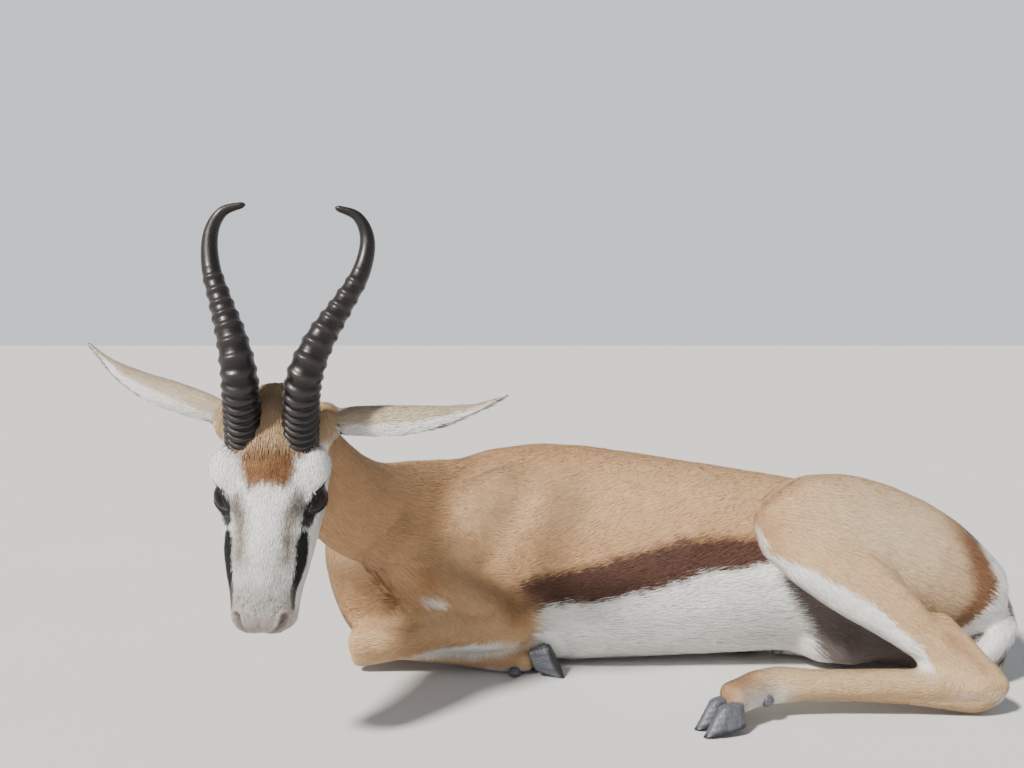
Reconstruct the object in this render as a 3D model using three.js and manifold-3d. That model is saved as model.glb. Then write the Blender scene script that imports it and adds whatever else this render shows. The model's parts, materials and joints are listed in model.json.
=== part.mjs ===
// A life-size springbok ram, lying on its right side with its head raised and turned to its left.
// Millimetres, +Z up, origin on the floor under the middle of the bounding box.
// The rump points to +X, the belly and the face to -Y.
// Each part is a closed loft or a union of lofts, parted from its neighbours by a thin gap.

import * as THREE from 'three';
import { mergeVertices } from 'three/addons/utils/BufferGeometryUtils.js';
import Module from 'manifold-3d';

const wasm = await Module();
wasm.setup();

// Driving dimensions
const GAP = 0.5; // clearance between neighbouring parts
const SINK = 3; // how far the lying body is pressed flat by the floor
const FLOOR_SPAN = 1600; // side of the block that cuts the small flats at floor level
const TIDY = 0.2; // facets that lie closer than this to one plane are joined
const WELD = 1e-3; // points closer than this are one point

const EYE_RADIUS = 16;
const EYE_AT = [44, 43, -29]; // down the face, out to the side, in from the face
const LID_OUT = 17; // from the middle of the eyeball to the middle of the opening of its lids
const HORN_SPREAD = 28; // half the distance between the middles of the horn bases
const HORN_RADII = [17.2, 17.2, 17, 14.2, 11, 9, 7.3, 5.2, 2.8]; // evenly from base to tip
const HORN_LEAN = [8.7, 220]; // how far both horns lean to the animal's left, and at what height
const HORN_RINGS = 14;
const HORN_RINGED = [0.1, 0.66]; // the part of the length that carries the rings
const EAR_WIDTH = 56;
const EAR_DROOP = 12; // how far the blade sags between its root and its tip
const EAR_SHELL = 4.5; // thickness of the ear with its hair
const CANNON_HIND = 17; // half-width of the hind cannon with its coat
const CANNON_FORE = 12.5;
const HOOF_TOP = [12, 17, 8.5]; // under the hair: towards the toe, towards the heel, half-width
const HOOF_SOLE = [34, 15, 9.6];
const HOOF_SPREAD = 10.2; // from the middle of the foot to the middle of each hoof
const DEWCLAW = 8;
const DEWCLAW_FORE = 17; // from the middle of the foot to the middle of each dewclaw
const DEWCLAW_HIND = 22;

// Head frame: origin on the face between the horn bases, with axes down the face, to its left and out of it
const HEAD_AT = new THREE.Vector3(-234.5, -300, 307);
const HEAD_NOD = 12.5; // degrees, how far the nose comes forward of the horn base
const HEAD_TURN = 2.8; // degrees, how far the face turns from -Y towards +X
const HEAD_ROLL = 1.8; // degrees, how far the horns lean to +X

const COLOURS = {
  tan: 0xcf9f6e,
  white: 0xece6dc,
  horn: 0x4a423d,
  eye: 0x15100d,
  hoof: 0x5c6066,
};

// Joints of the legs, from the body outward
const LEFT_FORE = {
  shoulder: [-116, -72, 136],
  elbow: [-8, -72, 64],
  carpus: [-186, -58, 34],
  cannonEnd: [-14, -56, 14],
  rim: [22, -62, 17],
  hoofTop: [26, -63, 17],
  sole: [47, -67, 27],
  toeward: [0.3, 0, -0.95],
  outward: [0.2, -1, 0],
};
const RIGHT_FORE = {
  shoulder: [-130, 84, 84],
  elbow: [-40, 128, 46],
  carpus: [-196, 92, 30],
  cannonEnd: [-36, 156, 14],
  rim: [-2, 170, 17],
  hoofTop: [2, 172, 17],
  sole: [22, 181, 27],
  toeward: [0.28, 0.12, -0.95],
  outward: [-0.4, 0.9, 0],
};
const LEFT_HIND = {
  stifle: [292, -142, 193],
  hock: [499, -190, 34],
  heel: [530, -192, 30],
  cannonEnd: [278, -194, 34],
  rim: [229, -226, 30],
  hoofTop: [222, -231, 28],
  sole: [226, -233, 6],
  toeward: [-0.94, -0.3, -0.16],
  outward: [0.3, -0.95, 0],
};
const RIGHT_HIND = {
  stifle: [368, -36, 53],
  hock: [546, -92, 32],
  heel: [572, -96, 28],
  cannonEnd: [352, -2, 22],
  rim: [314, 12, 20],
  hoofTop: [304, 16, 24],
  sole: [307, 15, 5],
  toeward: [-0.92, 0.36, -0.14],
  outward: [-0.35, -0.93, 0],
};

// Small helpers
const vec = (p) => (p.isVector3 ? p.clone() : new THREE.Vector3(p[0], p[1], p[2]));
const degrees = (d) => THREE.MathUtils.degToRad(d);
const mix = THREE.MathUtils.lerp;
const between = (a, b, t) => vec(a).lerp(vec(b), t).toArray();
const shifted = (p, d) => vec(p).add(vec(d)).toArray();
const signedPower = (value, power) => Math.sign(value) * Math.abs(value) ** power;

const headTurn = new THREE.Matrix4()
  .makeRotationZ(degrees(HEAD_TURN))
  .multiply(new THREE.Matrix4().makeRotationY(degrees(HEAD_ROLL)))
  .multiply(new THREE.Matrix4().makeRotationX(degrees(-HEAD_NOD)));
const FACE_DOWN = new THREE.Vector3(0, 0, -1).applyMatrix4(headTurn);
const FACE_LEFT = new THREE.Vector3(1, 0, 0).applyMatrix4(headTurn);
const FACE_OUT = new THREE.Vector3(0, -1, 0).applyMatrix4(headTurn);
const FACE_AXES = [FACE_DOWN, FACE_LEFT, FACE_OUT];

// A point of the head frame in the world
function onHead(down, left, out) {
  return HEAD_AT.clone()
    .addScaledVector(FACE_DOWN, down)
    .addScaledVector(FACE_LEFT, left)
    .addScaledVector(FACE_OUT, out);
}

// The curve through a list of triples, at u from 0 to 1
function through(triples) {
  const curve = new THREE.CatmullRomCurve3(triples.map(vec), false, 'catmullrom', 0.5);
  return (u) => curve.getPoint(u);
}

// A closed geometry from rings of points, each ring the same length, with a pole at either end
function skinRings(rings, startPole, endPole) {
  const sides = rings[0].length;
  const points = [startPole, ...rings.flat(), endPole];
  const last = points.length - 1;
  const index = [];
  for (let j = 0; j < sides; j += 1) {
    const k = (j + 1) % sides;
    index.push(0, 1 + k, 1 + j);
    for (let i = 0; i < rings.length - 1; i += 1) {
      const a = 1 + i * sides;
      const b = a + sides;
      index.push(a + j, a + k, b + j);
      index.push(a + k, b + k, b + j);
    }
    const end = 1 + (rings.length - 1) * sides;
    index.push(last, end + j, end + k);
  }
  const geometry = new THREE.BufferGeometry();
  const numbers = points.flatMap((p) => [p.x, p.y, p.z]);
  geometry.setAttribute('position', new THREE.Float32BufferAttribute(numbers, 3));
  geometry.setIndex(index);
  return geometry;
}

// A section's outline at an angle: along up and to the side. size is [upper, lower, side].
// taper narrows the lower half, as a deep chest narrows to the breastbone.
function outline(angle, size, power = 2.2, taper = 0) {
  const s = Math.sin(angle);
  const c = Math.cos(angle);
  const reach = s > 0 ? size[0] : size[1];
  const narrow = s < 0 ? 1 + taper * s : 1;
  return [signedPower(s, 2 / power) * reach, signedPower(c, 2 / power) * size[2] * narrow];
}

// A rounded bar through stations { at, up, size, power, taper }; caps are the lengths of its round ends
function loft(stations, { rings = 12, sides = 16, caps = [10, 10], grow = 0 } = {}) {
  const spine = through(stations.map((s) => s.at));
  const sizes = through(stations.map((s) => s.size));
  const ups = through(stations.map((s) => s.up));
  const shapes = through(stations.map((s) => [s.power ?? 2.2, s.taper ?? 0, 0]));
  const step = 1e-3;
  const domeSteps = sides > 10 ? [0.5, 0.86] : [0.7];

  function ring(u, scale, shift) {
    const clamped = THREE.MathUtils.clamp(u, step, 1 - step);
    const along = spine(clamped + step).sub(spine(clamped - step)).normalize();
    const up = ups(u);
    up.addScaledVector(along, -up.dot(along)).normalize();
    const side = new THREE.Vector3().crossVectors(up, along);
    const size = sizes(u).addScalar(grow).multiplyScalar(scale).toArray();
    const shape = shapes(u);
    const centre = spine(u).addScaledVector(along, shift);
    const points = [];
    for (let j = 0; j < sides; j += 1) {
      const [high, wide] = outline((2 * Math.PI * j) / sides, size, shape.x, shape.y);
      points.push(centre.clone().addScaledVector(up, high).addScaledVector(side, wide));
    }
    return { points, centre };
  }

  const dome = (k) => Math.sqrt(1 - k * k);
  const list = [...domeSteps].reverse().map((k) => ring(0, dome(k), -(caps[0] + grow) * k).points);
  for (let i = 0; i <= rings; i += 1) list.push(ring(i / rings, 1, 0).points);
  list.push(...domeSteps.map((k) => ring(1, dome(k), (caps[1] + grow) * k).points));
  const first = ring(0, 1, -(caps[0] + grow)).centre;
  const final = ring(1, 1, caps[1] + grow).centre;
  return skinRings(list, first, final);
}

// An ellipsoid with its own axes, for a muscle or a joint
function lump(at, axes, radii, { sides = 8, rings = 5, grow = 0 } = {}) {
  const geometry = new THREE.SphereGeometry(1, sides, rings);
  const [a, b, c] = axes.map((axis, i) => vec(axis).normalize().multiplyScalar(radii[i] + grow));
  geometry.applyMatrix4(new THREE.Matrix4().makeBasis(a, b, c));
  const centre = vec(at);
  geometry.translate(centre.x, centre.y, centre.z);
  return geometry;
}

// Closed meshes to solids and back
function solid(geometry) {
  const bare = geometry.clone();
  bare.deleteAttribute('normal');
  bare.deleteAttribute('uv');
  const merged = mergeVertices(bare, 1e-4);
  return new wasm.Manifold(
    new wasm.Mesh({
      numProp: 3,
      vertProperties: new Float32Array(merged.attributes.position.array),
      triVerts: new Uint32Array(merged.index.array),
    }),
  );
}

const join = (...bodies) => bodies.reduce((sum, body) => sum.add(body));
const cut = (body, ...tools) => tools.reduce((rest, tool) => rest.subtract(tool), body);

// The largest piece of a solid as a geometry; slivers left by a cut are dropped
function largestPiece(body) {
  const pieces = body.decompose();
  const main = pieces.reduce((best, piece) => (piece.volume() > best.volume() ? piece : best));
  const mesh = main.simplify(TIDY).getMesh();
  const geometry = new THREE.BufferGeometry();
  geometry.setAttribute('position', new THREE.Float32BufferAttribute(mesh.vertProperties, 3));
  geometry.setIndex([...mesh.triVerts]);
  return mergeVertices(geometry, WELD);
}

// The up vector of a trunk section that has rolled over on its right side
const rolled = (angle) => [0, Math.sin(degrees(angle)), Math.cos(degrees(angle))];

// A trunk section at x, rolled and set down so that it presses on the floor, or lifted clear of it
function lying(x, y, roll, size, taper = 0, lift = 0) {
  const samples = 48;
  let lowest = 0;
  for (let i = 0; i < samples; i += 1) {
    const [high, wide] = outline((2 * Math.PI * i) / samples, size, 2.2, taper);
    lowest = Math.min(lowest, high * Math.cos(degrees(roll)) - wide * Math.sin(degrees(roll)));
  }
  return { at: [x, y, lift - SINK - lowest], up: rolled(roll), size, taper };
}

// Trunk: chest, belly and pelvis in one rolled barrel
function trunkSolid(grow = 0) {
  const barrel = loft(
    [
      { at: [-213, 2, 104], up: rolled(24), size: [66, 84, 56], taper: 0.2 },
      { at: [-150, 17, 119], up: rolled(27), size: [104, 112, 80], taper: 0.36 },
      lying(-80, 27, 30, [136, 130, 94], 0.42),
      lying(0, 33, 33, [151, 139, 106], 0.38),
      lying(60, 36, 36, [152, 142, 112], 0.3),
      lying(130, 37, 40, [142, 139, 117], 0.2),
      lying(210, 33, 45, [127, 131, 120], 0.12),
      lying(290, 24, 48, [118, 119, 113], 0.05, 4),
      lying(370, 14, 50, [110, 108, 104], 0, 9),
      lying(450, 6, 50, [102, 98, 97], 0, 9),
      lying(520, -2, 48, [88, 84, 83], 0, 9),
      { at: [562, -10, 98], up: rolled(46), size: [60, 56, 58] },
    ],
    { rings: 12, sides: 15, caps: [22, 26], grow },
  );
  return solid(barrel);
}

// Neck: from inside the chest up and round to the back of the head
function neckSolid(grow = 0) {
  const tube = loft(
    [
      { at: [-58, 22, 161], up: [0, 0.6, 0.8], size: [93, 90, 70] },
      { at: [-114, -26, 178], up: [0, 0.5, 0.86], size: [82, 88, 64] },
      { at: [-162, -92, 202], up: [0.1, 0.45, 0.86], size: [63, 69, 54] },
      { at: [-196, -154, 240], up: [0.15, 0.55, 0.8], size: [54, 57, 47] },
      { at: [-220, -205, 285], up: [0.15, 0.75, 0.66], size: [50, 51, 43] },
      { at: [-230, -232, 312], up: [0.1, 0.8, 0.6], size: [45, 46, 38] },
    ],
    { rings: 8, sides: 12, caps: [20, 16], grow },
  );
  return solid(tube);
}

// Head: one long wedge down the face, with brows, cheeks and ear roots, and an opening for each eye
function headSolid(grow = 0) {
  // down the face, front of the section, back of the section, half-width, squareness
  const sections = [
    [-58, -26, -72, 27, 2.0],
    [-40, -10, -88, 38, 2.1],
    [-16, -2, -104, 47, 2.2],
    [8, 0, -114, 52, 2.3],
    [30, 0, -113, 52, 2.4],
    [52, 0, -102, 49, 2.5],
    [76, 1, -86, 46.5, 2.5],
    [100, 1, -70, 43, 2.5],
    [122, 1, -59, 38, 2.5],
    [142, -1, -54, 34, 2.4],
    [162, -6, -51, 32.5, 2.3],
  ];
  const wedge = loft(
    sections.map(([down, front, back, half, power]) => ({
      at: onHead(down, 0, (front + back) / 2),
      up: FACE_OUT,
      size: [(front - back) / 2, (front - back) / 2, half],
      power,
    })),
    { rings: 10, sides: 12, caps: [14, 14], grow },
  );
  let body = solid(wedge);
  for (const side of [-1, 1]) {
    const brow = lump(onHead(28, side * 42, -21), FACE_AXES, [27, 19, 17], { grow });
    const orbit = lump(onHead(46, side * 41, -32), FACE_AXES, [24, 17, 19], { grow });
    const cheek = lump(onHead(44, side * 30, -76), FACE_AXES, [42, 17, 30], { grow });
    const earRoot = lump(onHead(-32, side * 46, -50), FACE_AXES, [24, 19, 20], { grow });
    body = join(body, solid(brow), solid(orbit), solid(cheek), solid(earRoot));
  }
  return body;
}

// Eyeball, and the opening of the lids in front of it
function eyeSolid(side, grow = 0) {
  const [down, out, deep] = EYE_AT;
  const radii = [EYE_RADIUS, EYE_RADIUS, EYE_RADIUS];
  return solid(lump(onHead(down, side * out, deep), FACE_AXES, radii, { sides: 10, rings: 7, grow }));
}

function lidOpening(side) {
  const [down, out, deep] = EYE_AT;
  const middle = onHead(down, side * (out + LID_OUT), deep + 3);
  return solid(lump(middle, FACE_AXES, [16, 12, 13], { sides: 10 }));
}

// Horn: rises forward from the brow, bows out and back, and hooks in at the tip
function hornSolid(side) {
  // height above the base, out from the middle of the head, out of the face
  const path = through([
    [-14, HORN_SPREAD - 1, -36],
    [24, HORN_SPREAD, -13],
    [66, HORN_SPREAD + 2.5, 9],
    [104, HORN_SPREAD + 13.5, 11],
    [142, HORN_SPREAD + 30.5, 2],
    [178, HORN_SPREAD + 45.5, -6],
    [212, HORN_SPREAD + 49.5, -9],
    [235, HORN_SPREAD + 39, -7],
    [243.5, HORN_SPREAD + 16.5, -5],
  ]);
  const place = (u) => {
    const p = path(u);
    const lean = HORN_LEAN[0] * THREE.MathUtils.smoothstep(p.x, 0, HORN_LEAN[1]);
    return onHead(-p.x, side * p.y + lean, p.z);
  };
  const girth = through(HORN_RADII.map((radius) => [radius, 0, 0]));
  const sides = 7;
  const ringList = [];
  const addRing = (u, swell) => {
    const at = place(u);
    const along = place(Math.min(u + 0.004, 1)).sub(place(Math.max(u - 0.004, 0))).normalize();
    const up = FACE_OUT.clone().addScaledVector(along, -FACE_OUT.dot(along)).normalize();
    const across = new THREE.Vector3().crossVectors(up, along);
    const radius = girth(u).x + swell;
    const points = [];
    for (let j = 0; j < sides; j += 1) {
      const angle = (2 * Math.PI * j) / sides;
      const high = Math.sin(angle) * radius * 1.08;
      const wide = Math.cos(angle) * radius * 1.03;
      points.push(at.clone().addScaledVector(up, high).addScaledVector(across, wide));
    }
    ringList.push(points);
  };
  addRing(0, 0);
  const crowding = 1.28; // the rings stand closer together toward the base
  for (let k = 0; k < HORN_RINGS; k += 1) {
    const start = mix(...HORN_RINGED, (k / HORN_RINGS) ** crowding);
    const end = mix(...HORN_RINGED, ((k + 1) / HORN_RINGS) ** crowding);
    const ridge = mix(1.1, 0.6, k / HORN_RINGS);
    addRing(mix(start, end, 0.15), -ridge);
    addRing(mix(start, end, 0.62), ridge);
  }
  for (const u of [0.71, 0.78, 0.85, 0.91, 0.96]) addRing(u, 0);
  return solid(skinRings(ringList, place(0), place(1)));
}

// Ear: a long cupped leaf with its back turned toward back
function earSolid(base, tip, back) {
  const from = vec(base);
  const axis = vec(tip).sub(from);
  const length = axis.length();
  axis.normalize();
  const backward = vec(back).addScaledVector(axis, -vec(back).dot(axis)).normalize();
  const edge = new THREE.Vector3().crossVectors(axis, backward);
  const below = new THREE.Vector3(0, 0, -1).addScaledVector(axis, axis.z).normalize();
  // part of the length, part of the full width, half angle of the cup
  const leaf = through([
    [0, 0.5, 150],
    [0.14, 0.6, 130],
    [0.3, 0.72, 112],
    [0.48, 0.74, 96],
    [0.66, 0.56, 84],
    [0.84, 0.22, 74],
    [0.98, 0.05, 60],
  ]);
  const count = 6;
  const steps = 8;
  const rings = [];
  for (let i = 0; i <= steps; i += 1) {
    const shape = leaf(i / steps);
    const half = degrees(shape.z);
    const radius = (shape.y * EAR_WIDTH) / 2 / Math.sin(Math.min(half, Math.PI / 2));
    const inner = radius - Math.min(EAR_SHELL, radius * 0.45);
    const bow = radius * 0.6;
    const middle = from.clone().addScaledVector(axis, shape.x * length);
    middle.addScaledVector(backward, -bow);
    middle.addScaledVector(below, EAR_DROOP * Math.sin(Math.PI * shape.x ** 1.6));
    const point = (angle, reach) =>
      middle
        .clone()
        .addScaledVector(backward, Math.cos(angle) * reach)
        .addScaledVector(edge, Math.sin(angle) * reach);
    const spread = Array.from({ length: count }, (_, j) => mix(-half, half, j / (count - 1)));
    const outside = spread.map((angle) => point(angle, radius));
    const inside = spread.reverse().map((angle) => point(angle * 0.97, inner));
    rings.push([...outside, ...inside]);
  }
  const startPole = rings[0][Math.floor(count / 2)].clone().lerp(rings[0][Math.floor(1.5 * count)], 0.5);
  const tipPole = rings[steps].reduce((sum, p) => sum.add(p), new THREE.Vector3());
  tipPole.divideScalar(2 * count).addScaledVector(axis, 3);
  return solid(skinRings(rings, startPole, tipPole));
}

// A round bar from joint to joint with a size at each; a single number is a round section
function limb(joints, sizes, up, options = {}) {
  const stations = joints.map((at, i) => {
    const size = Array.isArray(sizes[i]) ? sizes[i] : [sizes[i], sizes[i], sizes[i]];
    return { at, up, size };
  });
  return loft(stations, { rings: 4, sides: 9, ...options });
}

// Shoulder blade and upper arm, over the side of the chest
function leftArmSolid(grow = 0) {
  const { shoulder, elbow } = LEFT_FORE;
  const blade = limb(
    [[26, 28, 212], [-22, -16, 190], [-74, -50, 158], shifted(shoulder, [4, 2, 0])],
    [[30, 30, 26], [54, 50, 34], [58, 52, 38], [36, 34, 32]],
    [0.55, 0.45, 0.7],
    { rings: 4, sides: 10, caps: [24, 16], grow },
  );
  const arm = limb(
    [shoulder, between(shoulder, elbow, 0.5), elbow, shifted(elbow, [20, 6, -2])],
    [[36, 36, 34], [44, 48, 36], [36, 38, 31], [25, 27, 23]],
    [0, -0.85, 0.53],
    { caps: [12, 14], grow },
  );
  return join(solid(blade), solid(arm));
}

function leftForearmSolid(grow = 0) {
  const { elbow, carpus } = LEFT_FORE;
  const bar = limb(
    [shifted(elbow, [6, 2, -2]), between(elbow, carpus, 0.22), between(elbow, carpus, 0.6), carpus],
    [[32, 30, 28], [33, 29, 27], [25, 23, 21], [22, 22, 20]],
    [0.25, -0.2, 1],
    { rings: 5, caps: [14, 14], grow },
  );
  return solid(bar);
}

// Folded cannon and pastern of a foreleg
function foreFootSolid({ carpus, cannonEnd, rim }, grow = 0) {
  const bar = limb(
    [
      shifted(carpus, [-2, 2, -15]),
      between(carpus, cannonEnd, 0.3),
      between(carpus, cannonEnd, 0.8),
      cannonEnd,
      rim,
    ],
    [14, CANNON_FORE, CANNON_FORE, 15, 15],
    [0, 0, 1],
    { caps: [8, 5], grow },
  );
  return solid(bar);
}

function rightArmSolid(grow = 0) {
  const { shoulder, elbow } = RIGHT_FORE;
  const bar = limb(
    [shoulder, between(shoulder, elbow, 0.5), elbow],
    [[44, 42, 38], [46, 44, 38], [38, 38, 32]],
    [0, 0.8, 0.6],
    { caps: [18, 16], grow },
  );
  return solid(bar);
}

function rightForearmSolid(grow = 0) {
  const { elbow, carpus } = RIGHT_FORE;
  const bar = limb(
    [elbow, between(elbow, carpus, 0.25), between(elbow, carpus, 0.65), carpus],
    [[32, 32, 28], [30, 28, 26], [23, 22, 21], [22, 22, 20]],
    [0, 0.1, 1],
    { caps: [14, 14], grow },
  );
  return solid(bar);
}

// Left thigh: the great oval from the stifle back to the buttock
function leftThighSolid(grow = 0) {
  const up = [0.3, 0.45, 0.85];
  const oval = loft(
    [
      { at: [278, -146, 205], up, size: [26, 28, 24] },
      { at: [308, -135, 203], up, size: [48, 48, 38] },
      { at: [352, -116, 191], up, size: [67, 66, 52] },
      { at: [410, -93, 168], up, size: [76, 78, 62] },
      { at: [468, -74, 138], up, size: [79, 80, 66] },
      { at: [522, -62, 110], up, size: [70, 66, 60] },
      { at: [562, -58, 92], up, size: [52, 46, 48] },
    ],
    { rings: 8, sides: 12, caps: [14, 26], grow },
  );
  return solid(oval);
}

function leftShankSolid(grow = 0) {
  const { stifle, hock, heel } = LEFT_HIND;
  const up = [0.6, 0, 0.8];
  const calf = limb(
    [
      shifted(stifle, [4, 0, -4]),
      between(stifle, hock, 0.3),
      between(stifle, hock, 0.6),
      between(stifle, hock, 0.85),
      hock,
    ],
    [[30, 30, 28], [48, 34, 30], [40, 22, 24], [26, 16, 18], [20, 18, 18]],
    up,
    { rings: 6, caps: [16, 8], grow },
  );
  const tendon = limb(
    [shifted(between(stifle, hock, 0.72), [26, 6, 22]), shifted(hock, [18, 2, 14]), heel],
    [[15, 15, 13], [13, 13, 12], [14, 15, 13]],
    up,
    { rings: 3, sides: 8, caps: [8, 9], grow },
  );
  return join(solid(calf), solid(tendon));
}

// Hock, cannon, fetlock and pastern of a hind leg
function hindFootSolid({ hock, heel, cannonEnd, rim }, grow = 0) {
  const bar = limb(
    [
      between(heel, hock, 0.2),
      hock,
      between(hock, cannonEnd, 0.22),
      between(hock, cannonEnd, 0.75),
      cannonEnd,
      between(cannonEnd, rim, 0.5),
      rim,
    ],
    [[14, 24, 14], [18, 35, 18], [17, 24, 17], CANNON_HIND, [21, 21, 19], [18, 18, 18], [18, 17, 19]],
    [0, 0, 1],
    { rings: 8, caps: [10, 4], grow },
  );
  return solid(bar);
}

function rightThighSolid(grow = 0) {
  const up = [0.2, 0.3, 0.9];
  const oval = loft(
    [
      { at: RIGHT_HIND.stifle, up, size: [41, 52, 36] },
      { at: [420, -38, 66], up, size: [54, 60, 50] },
      { at: [484, -34, 70], up, size: [58, 58, 54] },
      { at: [546, -28, 68], up, size: [48, 52, 46] },
    ],
    { rings: 5, sides: 10, caps: [30, 26], grow },
  );
  return solid(oval);
}

function rightShankSolid(grow = 0) {
  const { stifle, hock, heel } = RIGHT_HIND;
  const calf = limb(
    [shifted(stifle, [30, -34, -16]), between(stifle, hock, 0.45), between(stifle, hock, 0.8), hock, heel],
    [[24, 26, 22], [26, 28, 24], [20, 20, 18], [18, 18, 17], [14, 15, 13]],
    [0.3, 0.2, 0.9],
    { rings: 5, caps: [14, 8], grow },
  );
  return solid(calf);
}

// Tail: from the croup down behind the buttock, its dark tuft coming round under the thigh
function tailSolid(grow = 0) {
  const lock = limb(
    [[552, 26, 152], [584, 12, 122], [596, -24, 88], [590, -64, 66], [570, -97, 53], [540, -116, 36]],
    [14, 15, 15, 14, 12, 6],
    [0.5, -0.5, 0.7],
    { rings: 7, sides: 6, caps: [8, 12], grow },
  );
  return solid(lock);
}

// One hoof of a cloven foot, from under the hair of the pastern down to its sole
function hoofSolid({ hoofTop, sole, toeward, outward }, side, grow = 0) {
  const away = vec(outward).normalize().multiplyScalar(side * HOOF_SPREAD);
  const stations = [0, 0.5, 1].map((u) => ({
    at: between(hoofTop, sole, u).map((value, i) => value + away.getComponent(i)),
    up: toeward,
    size: between(HOOF_TOP, HOOF_SOLE, u),
    power: 2.3,
  }));
  return solid(loft(stations, { rings: 2, sides: 8, caps: [4, 2], grow }));
}

// The two small claws behind the fetlock
function dewclawSolid({ hock, carpus, cannonEnd, outward }, side, grow = 0) {
  const back = vec(hock ?? carpus).sub(vec(cannonEnd)).normalize();
  const at = vec(cannonEnd)
    .addScaledVector(back, -1.9 * DEWCLAW)
    .addScaledVector(vec(outward).normalize(), side * (hock ? DEWCLAW_HIND : DEWCLAW_FORE))
    .add(new THREE.Vector3(0, 0, -DEWCLAW));
  const across = new THREE.Vector3(0, 0, 1).cross(back);
  return solid(lump(at, [back, across, [0, 0, 1]], [DEWCLAW * 1.15, DEWCLAW, DEWCLAW], { rings: 4, grow }));
}

// The floor block
const floorBlock = (() => {
  const box = new THREE.BoxGeometry(FLOOR_SPAN, FLOOR_SPAN, FLOOR_SPAN);
  box.translate(0, 0, -FLOOR_SPAN / 2);
  return solid(box);
})();

const group = new THREE.Group();

function addPart(name, body, colour, roughness = 0.85) {
  const geometry = largestPiece(cut(body, floorBlock));
  geometry.computeVertexNormals();
  const finish = { color: colour, roughness, metalness: 0, flatShading: true };
  const material = new THREE.MeshStandardMaterial(finish);
  const mesh = new THREE.Mesh(geometry, material);
  mesh.name = name;
  group.add(mesh);
}

// Hooves and dewclaws of one foot, fitted round it and round each other
function addClaws(leg, joints, foot, ...others) {
  const inner = hoofSolid(joints, -1, GAP);
  addPart(`${leg}_hoof_outer`, cut(hoofSolid(joints, 1), inner, foot, ...others), COLOURS.hoof, 0.4);
  addPart(`${leg}_hoof_inner`, cut(hoofSolid(joints, -1), foot, ...others), COLOURS.hoof, 0.4);
  addPart(`${leg}_dewclaw_outer`, cut(dewclawSolid(joints, 1), foot, ...others), COLOURS.hoof, 0.4);
  addPart(`${leg}_dewclaw_inner`, cut(dewclawSolid(joints, -1), foot, ...others), COLOURS.hoof, 0.4);
}

const trunkCut = trunkSolid(GAP);
const headCut = headSolid(GAP);
const leftArmCut = leftArmSolid(GAP);
const leftForearmCut = leftForearmSolid(GAP);
const leftForeFootCut = foreFootSolid(LEFT_FORE, GAP);
const rightArmCut = rightArmSolid(GAP);
const rightForearmCut = rightForearmSolid(GAP);
const rightForeFootCut = foreFootSolid(RIGHT_FORE, GAP);
const leftThighCut = leftThighSolid(GAP);
const leftShankCut = leftShankSolid(GAP);
const leftHindFootCut = hindFootSolid(LEFT_HIND, GAP);
const rightThighCut = rightThighSolid(GAP);
const rightShankCut = rightShankSolid(GAP);
const rightHindFootCut = hindFootSolid(RIGHT_HIND, GAP);
const tuckedClaws = [-1, 1].flatMap((side) => [
  hoofSolid(RIGHT_HIND, side, GAP),
  dewclawSolid(RIGHT_HIND, side, GAP),
]);

const tuckedLeg = [rightThighCut, rightShankCut, rightHindFootCut, ...tuckedClaws];
addPart('trunk', cut(trunkSolid(), ...tuckedLeg), COLOURS.tan);
addPart('neck', cut(neckSolid(), trunkCut, headCut), COLOURS.tan);
const openings = [-1, 1].flatMap((side) => [eyeSolid(side, GAP), lidOpening(side)]);
addPart('head', cut(headSolid(), ...openings), COLOURS.white);
for (const [side, word, roots] of [[1, 'left', -40], [-1, 'right', -43]]) {
  addPart(`${word}_eye`, eyeSolid(side), COLOURS.eye, 0.1);
  addPart(`${word}_horn`, cut(hornSolid(side), headCut), COLOURS.horn, 0.45);
  const tip = side > 0 ? [0, -254, 357] : [-447, -199, 408];
  const back = side > 0 ? [0.05, -0.1, 1] : [0.2, 0.1, 1];
  const ear = earSolid(onHead(roots, side * 48, -50), tip, back);
  addPart(`${word}_ear`, cut(ear, headCut), COLOURS.tan);
}

addPart('left_fore_arm', cut(leftArmSolid(), trunkCut, neckSolid(GAP)), COLOURS.tan);
addPart('left_fore_forearm', cut(leftForearmSolid(), leftArmCut, trunkCut), COLOURS.tan);
addPart('left_fore_foot', cut(foreFootSolid(LEFT_FORE), leftForearmCut, leftArmCut, trunkCut), COLOURS.tan);
addClaws('left_fore', LEFT_FORE, leftForeFootCut, leftArmCut, leftForearmCut, trunkCut);

addPart('right_fore_arm', cut(rightArmSolid(), trunkCut, neckSolid(GAP)), COLOURS.tan);
addPart('right_fore_forearm', cut(rightForearmSolid(), rightArmCut, trunkCut), COLOURS.tan);
const rightForeFoot = foreFootSolid(RIGHT_FORE);
addPart('right_fore_foot', cut(rightForeFoot, rightForearmCut, rightArmCut, trunkCut), COLOURS.tan);
addClaws('right_fore', RIGHT_FORE, rightForeFootCut, rightArmCut, rightForearmCut, trunkCut);

addPart('left_hind_thigh', cut(leftThighSolid(), trunkCut), COLOURS.tan);
addPart('left_hind_shank', cut(leftShankSolid(), leftThighCut, trunkCut), COLOURS.tan);
addPart('left_hind_foot', cut(hindFootSolid(LEFT_HIND), leftShankCut), COLOURS.tan);
addClaws('left_hind', LEFT_HIND, leftHindFootCut);

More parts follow.
